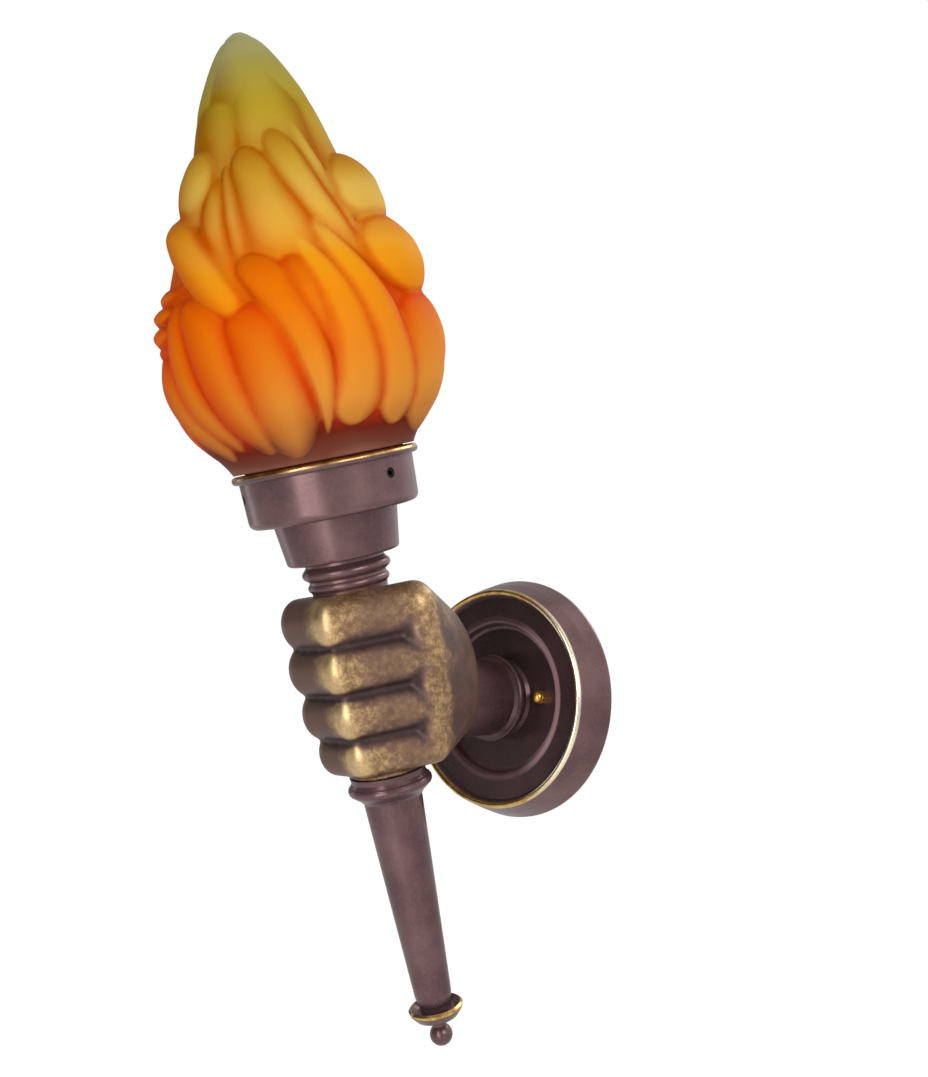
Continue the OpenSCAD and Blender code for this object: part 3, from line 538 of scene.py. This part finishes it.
def castBronze():
    cast = Surface("castBronze")
    high = cast.attribute("high")
    # back is 1 on the fingers' lit faces and falls to painted shade past the second joints and towards the wall
    back = cast.attribute("back")
    cloud = cast.noise(95.0, 3.0, 0.5)
    mottle = cast.noise(300.0, 3.0, 0.55)
    speck = cast.noise(900.0, 2.0, 0.5)
    pits = mottle * 0.6 + speck * 0.4
    across = cast.along((1, 0, 0))
    finger = 1.0 - across.step(*casting["dullFrom"]) * (1.0 - across.step(*casting["dullTo"]) * 0.6) * 0.75
    rub = high + (cloud - 0.5) * 0.6 + (mottle - 0.5) * 0.45
    brown = cast.colours(*casting["brown"], rub.step(-0.1, 0.6))
    bronze = cast.colours(brown, casting["bronze"], rub.step(0.3, 0.8) * (back * 0.6 + 0.25))
    brass = cast.colours(*casting["brass"], pits.step(0.38, 0.66))
    # painted highlight on the second joints
    brass = cast.colours(brass, casting["jointHighlight"], across.band(*casting["jointHighlightPlace"]) * 0.6)
    shine = (rub.step(0.38, 0.98) * back * finger).clamped()
    cast.set("Base Color", cast.colours(bronze, brass, shine * 0.85))
    cast.set("Metallic", 0.6 + shine * 0.3)
    cast.set("Roughness", 0.36 - shine * 0.04 + mottle * 0.06)
    cast.bump(pits, 0.1, 0.3)
    return cast.material


# Satin glass: red at the foot, orange, amber and a pale green tip, with painted shade along the tongues' edges, in
# the hollows and between the tongues.
# Stops run from the foot of the glass to its tip.
glassColours = {
    "start": 126.0,
    "length": 217.0,
    "drift": 14.0,
    "upper": [    # the upper part of each tongue
        (0.00, (146, 90, 54)), (0.10, (178, 92, 24)), (0.24, (196, 92, 8)), (0.35, (202, 94, 2)),
        (0.44, (204, 108, 2)), (0.51, (194, 120, 12)), (0.60, (178, 130, 30)), (0.70, (168, 132, 36)),
        (0.80, (154, 128, 24)), (0.92, (142, 136, 60)), (1.00, (150, 154, 114))],
    "lower": [    # the paler root of each tongue
        (0.00, (156, 94, 54)), (0.06, (188, 118, 50)), (0.13, (200, 128, 46)), (0.24, (204, 118, 24)),
        (0.35, (208, 122, 10)), (0.44, (206, 134, 18)), (0.51, (200, 154, 58)), (0.60, (190, 156, 70)),
        (0.70, (178, 146, 54)), (0.80, (156, 132, 34)), (0.92, (144, 138, 66)), (1.00, (152, 154, 118))],
    "groove": [    # between the tongues and along their shaded edges
        (0.00, (126, 80, 66)), (0.02, (102, 56, 44)), (0.055, (100, 32, 20)), (0.10, (172, 44, 6)),
        (0.20, (190, 52, 1)), (0.32, (190, 60, 0)), (0.42, (184, 68, 0)), (0.52, (176, 80, 0)),
        (0.62, (160, 86, 0)), (0.74, (144, 86, 1)), (0.84, (126, 94, 8)), (1.00, (146, 148, 104))],
}


def flameGlass():
    glass = Surface("flameGlass", Specular_IOR_Level=0.015)
    level, _ = glass.torchPlace()
    fold, swell, edge, tip, bare, pale = (
        glass.attribute(name) for name in ("fold", "swell", "edge", "tip", "bare", "pale"))
    drift = (glass.noise(26.0, 2.0) - 0.5) * glassColours["drift"]
    height = ((level + drift - glassColours["start"]) / glassColours["length"]).clamped()
    upper, lower, groove = (glass.ramp(height, glassColours[name]) for name in ("upper", "lower", "groove"))
    # painted shade along the tongues' edges, between the tongues and in the hollows (fold and swell), and darker
    # towards the tips
    shade = (edge * 0.85).atLeast(tip.step(0.0, 1.0) * 0.82).atLeast(bare)
    shade = shade + (1.0 - fold.step(0.1, 0.9)) * 0.3 + (1.0 - swell.step(0.2, 0.8)) * 0.2
    shade = (shade - 0.08).clamped()
    glass.set("Base Color", glass.colours(glass.colours(upper, lower, pale), groove, shade))
    glass.set("Roughness", 0.42 + glass.noise(90.0) * 0.08)
    glass.bump(glass.noise(1500.0, 2.0), 0.03, 0.15)
    return glass.material


# Bare or plated metal with fine turning marks.
def plainMetal(name, low, high, rough):
    metal = Surface(name, Metallic=1.0)
    cloud = metal.noise(120.0, 4.0)
    lines = metal.noise(900.0, 2.0, stretch=(1.0, 1.0, 6.0))
    metal.set("Base Color", metal.colours(low, high, cloud.step(0.3, 0.7)))
    metal.set("Roughness", rough + lines * 0.14)
    metal.bump(lines, 0.02, 0.3)
    return metal.material


# Moulded or glazed surface with faint unevenness.
def plainPlastic(name, low, high, rough):
    plastic = Surface(name)
    cloud = plastic.noise(160.0, 3.0)
    plastic.set("Base Color", plastic.colours(low, high, cloud.step(0.3, 0.7)))
    plastic.set("Roughness", rough + cloud * 0.1)
    plastic.bump(plastic.noise(1800.0, 2.0), 0.02, 0.3)
    return plastic.material


# Green insulation with a yellow stripe along it.
def earthStripes():
    skin = Surface("leadEarth")
    stripe = (skin.along((0.7, 0.0, 0.7)) * 1.1).wrapped(0.0, 2.0).band(0.5, 1.4, 0.1)
    skin.set("Base Color", skin.colours((66, 132, 52), (224, 204, 60), stripe))
    skin.set("Roughness", 0.42 + skin.noise(300.0) * 0.1)
    return skin.material


materials = {
    "brown": brownMetal("brownMetal"),
    "bead": brownMetal("brownMetalBead", beadGilt),
    "saucer": brownMetal("brownMetalSaucer", saucerGilt),
    "ridge": brownMetal("brownMetalRidge", ridgeGilt, recessShadeAndSheen),
    "arm": brownMetal("brownMetalArm", None, recessShadeAndSheen),
    "bronze": castBronze(),
    "flame": flameGlass(),
    "steel": plainMetal("zincSteel", (150, 152, 156), (196, 198, 200), 0.28),
    "black": plainMetal("blackSteel", (26, 23, 23), (44, 38, 38), 0.42),
    "brass": plainMetal("bareBrass", (196, 152, 70), (232, 196, 112), 0.24),
    "porcelain": plainPlastic("porcelain", (232, 230, 222), (244, 243, 238), 0.12),
    "terminal": plainPlastic("terminalPlastic", (226, 224, 212), (238, 236, 228), 0.4),
    "live": plainPlastic("leadBrown", (104, 62, 38), (122, 76, 50), 0.38),
    "neutral": plainPlastic("leadBlue", (36, 84, 158), (52, 104, 182), 0.38),
    "earth": earthStripes(),
    "lamp": plainPlastic("lampGlass", (240, 238, 230), (250, 249, 244), 0.3),
    "nickel": plainMetal("lampMetal", (176, 176, 178), (208, 208, 210), 0.22),
}
print("scene: materials")


flame = {
    "foot": 126.3,
    "columns": 320,
    "rows": 262,
    "neck": 41.25,
    "neckFoot": 99.5,
    "neckEdge": 0.4,
    "bore": 38.05,
    "boreTop": 2,
    "wall": 3.0,
    "relief": 1.0,    # 0 leaves the smooth body
    "tipShade": 26.0,    # how far below its tip a tongue is shaded
    "bluntEnd": 16,    # a tip longer than this keeps the colour of its root
    "bareRelief": (1.2, 0.2),    # where the body shows between the tongues
    # painted shade on the tongues' left side in this turn of the glass
    "leftTurn": (40, 80, 112, 128),    # turn of the mould where tongues are shaded on their left
    "foldReach": 5,    # columns over which hollows are told from ridges, fine and broad
    "swellReach": 14,
    # level above the foot and radius between the tongues
    "body": [
        (0, 47), (3, 48.6), (8, 52), (14, 56.2), (21, 61), (29, 64.8), (39, 67.2), (59, 67.2),
        (69, 66.2), (79, 64.2), (89, 61.2), (99, 57), (109, 52.6), (119, 48.6), (129, 44.4),
        (139, 40.4), (149, 36.4), (159, 33.4), (167, 31), (176, 27.8), (184, 24.2), (192, 20),
        (200, 15.4), (206, 11.8), (211, 8.6), (214.5, 6), (216.5, 3)],
    "hollow": [14, 24, 39, 59, 79, 99, 119, 139, 159, 176],
    "hollowTop": (0.5, 192),
    # angle at root, middle and tip; level of root and tip; half width at root and tip; length of the
    # pointed root and of the round tip; height; turn after which it comes again
    "tongues": [
        # petals round the foot
        (-98, -112, -119, 6, 66, 13, 13, 16, 13, 4.8, 180),
        (-86, -106, -100, 10, 87, 10, 9, 16, 12, 5, 180),
        (-70, -80, -87, 6, 89, 11, 14, 16, 15, 6.4, 180),
        (-57, -55, -63, 2, 79, 15, 14, 16, 15, 7, 180),
        (-39, -32, -60, 10, 102, 4, 13, 34, 14, 7, 180),
        (-33, -33, -41, 46, 99, 6, 7.5, 20, 10, 5, 180),
        (-26, -10, -42, 13, 116, 13, 7, 10, 40, 5.6, 180),
        (-2, 0, -28, 10, 118, 12, 8.5, 10, 40, 5.4, 180),
        (27, 26, 24, 4, 74, 25, 24, 14, 20, 4.8, 180),
        (42, 38, 30, 26, 72, 24, 23, 18, 24, 5.8, 180),
        # scallops on the far left, and the plain tongue beyond the right side
        (-128, -128, -128, 60, 71, 24, 24, 6, 6, 4, 360),
        (-128, -128, -128, 67, 80, 24, 24, 6, 7, 7, 360),
        (-128, -128, -128, 77, 89, 24, 24, 6, 7, 7.4, 360),
        (-128, -128, -128, 86, 97, 24, 24, 6, 6, 5, 360),
        (66, 70, 72, 52, 124, 18, 18, 14, 18, 6, 360),
        # middle tongues
        (-66, -79, -120, 68, 130, 9, 18, 12, 13, 10.4, 180),
        (-62, -85, -79, 76, 143, 11, 9, 16, 18, 5, 180),
        (-59, -66, -72, 76, 148, 6, 7, 16, 26, 3.8, 180),
        (-100, -104, -102, 120, 159, 22, 25, 14, 20, 8.4, 180),
        (-26, -42, -56, 72, 155, 28, 15, 40, 15, 5, 180),
        (-3, -18, -34, 84, 162, 9, 16, 30, 18, 4.8, 180),
        (0, -4, -16, 96, 168, 4, 9, 24, 34, 3.6, 180),
        (20, 23, 28, 106, 148, 30, 30, 14, 18, 12, 360),
        (20, 22, 23, 71, 116, 26, 30, 16, 22, 12, 360),
        (-160, -158, -152, 58, 150, 24, 24, 16, 20, 5, 360),
        # crown, smooth at the tip
        (-20, -31, -32, 124, 213, 32, 36, 22, 20, 2.4, 180),
        (-92, -88, -84, 120, 210, 32, 32, 22, 20, 1.4, 180),
        (26, 28, 30, 120, 206, 28, 30, 22, 20, 1.4, 180),
        (0, 0, 0, 172, 213, 200, 200, 10, 10, 2.5, 180)],
}


# The outline as a smooth curve through its points.
def smoothOutline(points, steps):
    levels, radii = np.array(points, dtype=float).T
    slopes = np.gradient(radii, levels)
    at = np.linspace(levels[0], levels[-1], steps)
    i = np.clip(np.searchsorted(levels, at) - 1, 0, len(levels) - 2)
    width = levels[i + 1] - levels[i]
    u = (at - levels[i]) / width
    h1, h2 = 2 * u**3 - 3 * u**2 + 1, u**3 - 2 * u**2 + u
    h3, h4 = -2 * u**3 + 3 * u**2, u**3 - u**2
    return at, h1 * radii[i] + h2 * width * slopes[i] + h3 * radii[i + 1] + h4 * width * slopes[i + 1]


# Lays the tongues on the smooth body, and keeps what colours the glass: how far across and along
# the highest tongue each point lies, how near its tip, and how high it stands.
def flameTree():
    nodes, entry = newGeometryTree("tongues", {"Relief": 1.0})

    def named(name):
        return nodes.field(nodes.add(
            "GeometryNodeInputNamedAttribute", {"data_type": "FLOAT"}, {"Name": name}))

    angle, level, outside = named("angle"), named("level"), named("outside")
    relief = None
    for a, b, c, root, tip, wide, narrow, rise, bulb, height, period in flame["tongues"]:
        u = ((level - float(root)) / float(tip - root)).clamped()
        v = 1.0 - u
        spine = v * v * float(a) + u * v * float(2 * b) + u * u * float(c)
        start = ((level - float(root)) / (rise * 1.3)).clamped()
        point = (start * 1.5 - start * start * start * 0.5).math("POWER", 0.5).atLeast(0.001)
        width = (v * float(wide) + u * float(narrow)) * point
        side = (angle - spine).wrapped(-period / 2.0, period / 2.0) / width
        over = ((level - float(tip - bulb)) / float(bulb)).atLeast(0.0)
        left = (1.0 - (side * side + over * over)).atLeast(0.0)
        swell = ((u * 1.6).atMost(1.0) * 0.4 + 0.6) * point
        stand = left.math("POWER", 0.5) * swell * float(height)
        blunt = min(1.0, flame["bluntEnd"] / bulb)
        close = ((level - float(tip)) / flame["tipShade"] + 1.0).clamped() * blunt
        if relief is None:
            relief, across, near, along = stand, side, close, u * blunt
            continue
        wins = stand.math("GREATER_THAN", relief)
        across = across + (side - across) * wins
        near = near + (close - near) * wins
        along = along + (u * blunt - along) * wins
        relief = relief.atLeast(stand)

    x, y, _ = placeParts(nodes)
    offset = outward(nodes, x, y, relief * outside * nodes.field(entry, "Relief") * millimetre)
    geometry = entry.outputs["Geometry"]
    for label, value in (("across", across), ("near", near), ("along", along), ("relief", relief)):
        geometry = nodes.add(
            "GeometryNodeStoreNamedAttribute", {"data_type": "FLOAT", "domain": "POINT"},
            {"Name": label, "Value": value, "Geometry": geometry}).outputs[0]
    move = nodes.add("GeometryNodeSetPosition", entries={"Offset": offset, "Geometry": geometry})
    return finishGeometryTree(nodes, entry, move.outputs[0])


# Smoothly from 0 at low to 1 at high.
def rampTo(values, low, high):
    u = np.clip((values - low) / (high - low), 0, 1)
    return u * u * (3 - 2 * u)


# The glass from the top of its hollow down inside, round the neck's foot and up its outside.
def flameOutline():
    foot, edge = flame["foot"], flame["neckEdge"]
    body = np.array(flame["body"], dtype=float)
    inner = [(flame["hollowTop"][0], foot + flame["hollowTop"][1])]
    for l in reversed(flame["hollow"]):
        inner.append((np.interp(l, body[:, 0], body[:, 1]) - flame["wall"], foot + l))
    inner += [(flame["bore"], foot + flame["boreTop"]), (flame["bore"], flame["neckFoot"] + edge),
              (flame["bore"] + edge, flame["neckFoot"]), (flame["neck"] - edge, flame["neckFoot"]),
              (flame["neck"], flame["neckFoot"] + edge), (flame["neck"], foot)]
    levels, radii = smoothOutline(flame["body"], flame["rows"])
    return inner, [(r, foot + l) for l, r in zip(levels, radii)]


# The mean over a window of rings and columns, three times over.
def smoothed(values, reach):
    rings = len(values)
    for _ in range(3):
        values = sum(np.roll(values, step, axis=1) for step in range(-reach, reach + 1)) / (2 * reach + 1)
        values = sum(values[np.clip(np.arange(rings) + step, 0, rings - 1)]
                     for step in range(-reach, reach + 1)) / (2 * reach + 1)
    return values


# Values that the glass's colours follow, taken from how the tongues stand; most of them are masks of painted
# shade.
def shadeFlame(mesh, angles, level, innerRings):
    shape = (-1, flame["columns"])
    points = meshPoints(mesh).reshape(*shape, 3)
    radius = np.hypot(points[..., 0], points[..., 1]) / millimetre
    radius[:innerRings] = radius[innerRings]
    # fold and swell are low in hollows and high on ridges, for painted shade in the hollows
    for name, reach in (("fold", flame["foldReach"]), ("swell", flame["swellReach"])):
        stand = (radius - smoothed(radius.copy(), reach)).ravel()
        addValues(mesh, name, np.clip(0.5 + stand * 0.5 / (0.16 * reach), 0, 1))
    across, near, along, relief = (
        meshValues(mesh, name).reshape(shape) for name in ("across", "near", "along", "relief"))
    bare = rampTo(relief, *flame["bareRelief"])
    # in two turns of the glass the painted shade falls on the tongues' left side, elsewhere on their right side
    turn = -((angles.reshape(shape) - 52) % 180 - 128)
    left = flame["leftTurn"]
    leftward = rampTo(turn, left[0], left[1]) * (1 - rampTo(turn, left[2], left[3]))
    edge = leftward * rampTo(-across, -0.6, 0.8) + (1 - leftward) * rampTo(across, 0.1, 1.0)
    edge = np.maximum(edge, rampTo(abs(across), 0.75, 1.1) * 0.8) * (1 - bare)
    rise = level.reshape(shape)
    # more painted shade on the upper part of the left-hand tongues
    edge = edge + leftward * rampTo(rise, 80, 110) * 0.25
    # paler towards each tongue's root, less so low on the left-hand tongues, where shade is painted
    pale = (1 - rampTo(along, 0.3, 0.9)) * (1 - leftward * rampTo(rise, 80, 40) * 0.6)
    for name, values in (("edge", edge), ("tip", near), ("bare", bare), ("pale", pale)):
        for _ in range(3):
            values = (np.roll(values, 1, axis=1) + values * 2 + np.roll(values, -1, axis=1)) / 4
            values[1:-1] = (values[2:] + values[1:-1] * 2 + values[:-2]) / 4
        addValues(mesh, name, values.ravel())


def makeFlame():
    inner, outer = flameOutline()
    outline = inner + outer
    points, angles = turnedPoints(outline, flame["columns"])
    piece = newPiece("flame", points, turnedFaces(len(outline), flame["columns"]))
    level = np.repeat([t - flame["foot"] for r, t in outline], flame["columns"])
    addValues(piece.data, "angle", angles)
    addValues(piece.data, "level", level)
    addValues(piece.data, "outside", np.repeat([0.0] * len(inner) + [1.0] * len(outer), flame["columns"]))
    mesh = growWithTree(piece, flameTree(), {"Relief": flame["relief"], "Material": materials["flame"]})
    shadeFlame(mesh, angles, level, len(inner))
    mesh.transform(torchMatrix)
    mesh.shade_smooth()
    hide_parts("flame_shade")
    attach(piece, "shade")


makeFlame()
print("scene: flame")


hand = {
    # joints across the torch from the knuckle to the fingertip, in millimetres
    "joints": [(36.3, 8.8), (6.3, -23.6), (-20.7, -20.4), (-28.8, -3.7)],
    # from the forefinger down: reach, thickness and level
    "reach": [0.97, 1.0, 0.94, 0.82],
    "size": [1.0, 1.0, 0.96, 0.87],
    "levels": [44.0, 20.0, -4.0, -25.5],
    "radius": 11.0,
    "half": 14.0,
    # lumps as place across the torch, level, radius and half length
    "palm": [((20.9, 33.7), 5, 19, 38), ((14, 12), 34, 9, 12), ((14, 12), -22, 9, 12)],
    "thumb": [((4, 34), 12, 15, 20), ((-16, 24), 28, 11.5, 12), ((-27, 14), 37, 10.5, 11),
              ((-33, 3), 42, 9.5, 10)],
    "heel": [((-12, 18), 2, 14, 36), ((12, 22), 2, 18, 38)],
    "core": {"radius": 20, "levels": (-40, 52)},
    "wrist": {"depth": 62.0, "radius": 22.0, "thick": 4},
    "voxel": 0.9,
    "smoothing": 9,
    "hollows": ((50, 0.6), (180, 0.3)),    # smoothing steps that tell ridges from hollows, and their share
}


# Points of an ellipsoid standing along the torch, in the row frame.
def ellipsoid(place, level, r, half, rings=20, columns=28):
    a = np.linspace(0, math.pi, rings)[:, None]
    b = np.linspace(0, 2 * math.pi, columns, endpoint=False)[None, :]
    points = np.stack([
        place[0] + r * np.sin(a) * np.cos(b),
        place[1] + r * np.sin(a) * np.sin(b),
        level + half * np.cos(a) * np.ones_like(b)], axis=-1).reshape(-1, 3)
    return toTorch(points * millimetre)


# Adds the convex hull of the given points to a bmesh.
def addHull(model, *clouds):
    made = bmesh.new()
    for point in np.concatenate(clouds):
        made.verts.new(point)
    result = bmesh.ops.convex_hull(made, input=made.verts, use_existing_faces=False)
    spare = [v for v in result["geom_interior"] if isinstance(v, bmesh.types.BMVert)]
    bmesh.ops.delete(made, geom=spare, context="VERTS")
    mesh = bpy.data.meshes.new("hull")
    made.to_mesh(mesh)
    made.free()
    model.from_mesh(mesh)
    bpy.data.meshes.remove(mesh)


def circle(radius, steps=48):
    angles = np.linspace(0, 2 * math.pi, steps, endpoint=False)
    return [(radius * math.cos(a), radius * math.sin(a)) for a in angles]


def wristDisc():
    wrist = hand["wrist"]
    return np.array([
        (x, -wrist["depth"] - d, z) for x, z in circle(wrist["radius"]) for d in (0, wrist["thick"])]) * millimetre


# The overlapping lumps that the hand is blended from.
def roughHand():
    model = bmesh.new()
    knuckles = []
    for reach, size, level in zip(hand["reach"], hand["size"], hand["levels"]):
        joints = [(x * reach, y * reach) for x, y in hand["joints"]]
        r, half = hand["radius"] * size, hand["half"] * size
        lumps = [ellipsoid(j, level, r, half) for j in joints[:3]]
        lumps.append(ellipsoid(joints[3], level, r - 1, half - 2))    # the fingertip is a little slimmer
        knuckles.append(lumps[0])
        for start, end in zip(lumps, lumps[1:]):
            addHull(model, start, end)
    addHull(model, *knuckles, *(ellipsoid(*lump) for lump in hand["palm"]), wristDisc())
    for start, end in zip(hand["thumb"], hand["thumb"][1:]):
        addHull(model, ellipsoid(*start), ellipsoid(*end))
    core = [(x, y, t) for x, y in circle(hand["core"]["radius"]) for t in hand["core"]["levels"]]
    addHull(model, toTorch(np.array(core) * millimetre))
    addHull(model, *(ellipsoid(*lump) for lump in hand["heel"]))
    return model


def meshEdges(mesh):
    edges = np.empty(len(mesh.edges) * 2, dtype=np.int64)
    mesh.edges.foreach_get("vertices", edges)
    edges = edges.reshape(-1, 2)
    return edges, np.bincount(edges.ravel(), minlength=len(mesh.vertices))


# Moves each point half way to the mean of its neighbours, steps times.
def relax(points, edges, count, steps):
    for _ in range(steps):
        total = np.zeros_like(points)
        np.add.at(total, edges[:, 0], points[edges[:, 1]])
        np.add.at(total, edges[:, 1], points[edges[:, 0]])
        points += 0.5 * (total / np.maximum(count, 1)[:, None] - points)


def makeHand():
    model = roughHand()
    mesh = bpy.data.meshes.new("hand")
    model.to_mesh(mesh)
    model.free()
    piece = bpy.data.objects.new("fist", mesh)
    bpy.context.scene.collection.objects.link(piece)
    remesh = piece.modifiers.new("blend", "REMESH")
    remesh.mode = "VOXEL"
    remesh.voxel_size = hand["voxel"] * millimetre
    mesh = applyModifiers(piece)
    edges, count = meshEdges(mesh)
    points = meshPoints(mesh)
    relax(points, edges, count, hand["smoothing"])
    mesh.vertices.foreach_set("co", points.ravel())
    mesh.update()
    normals = np.empty(len(points) * 3)
    mesh.vertices.foreach_get("normal", normals)
    normals = normals.reshape(-1, 3)
    far = points.copy()
    high = 0
    for steps, share in hand["hollows"]:
        relax(far, edges, count, steps)
        high = high + share * ((points - far) * normals).sum(axis=1) / millimetre
    x, y, _ = ((points - np.array(torchOrigin)) / millimetre).T
    addValues(mesh, "high", np.clip(0.3 + high, 0, 1))
    # brass on the fingers' faces from the knuckles to the second joints, painted shade past them and towards the
    # wall
    addValues(mesh, "back", np.clip((x + 6) / 10, 0, 1) * np.clip((30 - y) / 14, 0.25, 1))
    mesh.materials.clear()
    mesh.materials.append(materials["bronze"])
    mesh.shade_smooth()
    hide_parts("hand")
    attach(piece, "fixture")


makeHand()
print("scene: hand")


lampScrew = {
    "radius": 13.2,
    "tipRadius": 6.0,
    "tip": 1.3,    # height of the sloping end
    "shoulder": 1.2,    # how much narrower the wall starts
    "pitch": 3.6,
    "depth": 1.1,
    "fade": (2.0, 3.0),    # how far the thread takes to start and to end
    "columns": 72,
    "rings": 70,
}


# Presses a round screw thread into the wall, inwards only, between two levels.
def threadTree():
    nodes, entry = newGeometryTree("thread", {"Pitch": 3.6, "Depth": 1.0, "Start": 0.0, "End": 20.0})
    pitch, depth, start, end = (nodes.field(entry, name) for name in ("Pitch", "Depth", "Start", "End"))
    x, y, level = placeParts(nodes)
    level = level / millimetre
    turn = y.math("ARCTAN2", x) / (2 * math.pi)
    wave = ((level / pitch - turn) * (2 * math.pi)).math("SINE")
    fadeIn, fadeOut = lampScrew["fade"]
    fade = ((level - start) / fadeIn).clamped() * ((end - level) / fadeOut).clamped()
    offset = outward(nodes, x, y, (wave * 0.5 - 0.5) * fade * depth * millimetre)
    move = nodes.add("GeometryNodeSetPosition", entries={
        "Geometry": entry.outputs["Geometry"], "Offset": offset})
    return finishGeometryTree(nodes, entry, move.outputs[0])


def makeLampCap():
    solid = meshPoints(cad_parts["lamp_cap"].data) - np.array(torchOrigin)
    levels = solid @ np.array(torchAxis) / millimetre
    foot, top = levels.min(), levels.max()
    wall = foot + lampScrew["tip"]
    outline = [(lampScrew["tipRadius"], foot), (lampScrew["radius"] - lampScrew["shoulder"], wall)]
    outline += [(lampScrew["radius"], t) for t in np.linspace(wall + 0.2, top, lampScrew["rings"])]
    points, _ = turnedPoints(outline, lampScrew["columns"])
    piece = newPiece("lampCap", points, turnedFaces(len(outline), lampScrew["columns"]))
    mesh = growWithTree(piece, threadTree(), {
        "Pitch": lampScrew["pitch"], "Depth": lampScrew["depth"], "Start": float(wall), "End": float(top),
        "Material": materials["nickel"]})
    mesh.transform(torchMatrix)
    mesh.shade_smooth()
    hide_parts("lamp_cap")
    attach(piece, "lamp")


makeLampCap()
print("scene: lamp cap")


finishes = {
    "wall_plate": "ridge", "gallery_cup": "bead", "saucer": "saucer", "arm_sleeve": "arm",
    "neck_collar": "brown", "lower_collar": "brown", "handle": "brown", "end_ball": "brown",
    "socket_cup": "brown", "wall_bracket": "steel", "bracket_studs": "steel", "arm_nipple": "steel",
    "arm_washer": "steel", "arm_lock_nut": "steel", "torch_rod": "steel", "rod_washer": "steel",
    "rod_lock_nut": "steel", "shade_screw_1": "black", "shade_screw_2": "black",
    "shade_screw_3": "black", "cup_rivets": "brass", "lampholder_shell": "brass",
    "lampholder_contact": "brass", "lampholder_screws": "brass", "terminal_screws": "brass",
    "earth_stud": "brass", "earth_nut": "brass", "cap_nut_left": "brass", "cap_nut_right": "brass",
    "lamp_contact": "brass", "lampholder_cap": "porcelain", "lampholder_insert": "porcelain",
    "lampholder_skirt": "porcelain", "terminal_block": "terminal", "live_lead": "live",
    "neutral_lead": "neutral", "earth_lead": "earth", "lamp_globe": "lamp",
}

for name, finish in finishes.items():
    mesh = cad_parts[name].data
    mesh.materials.clear()
    mesh.materials.append(materials[finish])
print("scene: finishes")
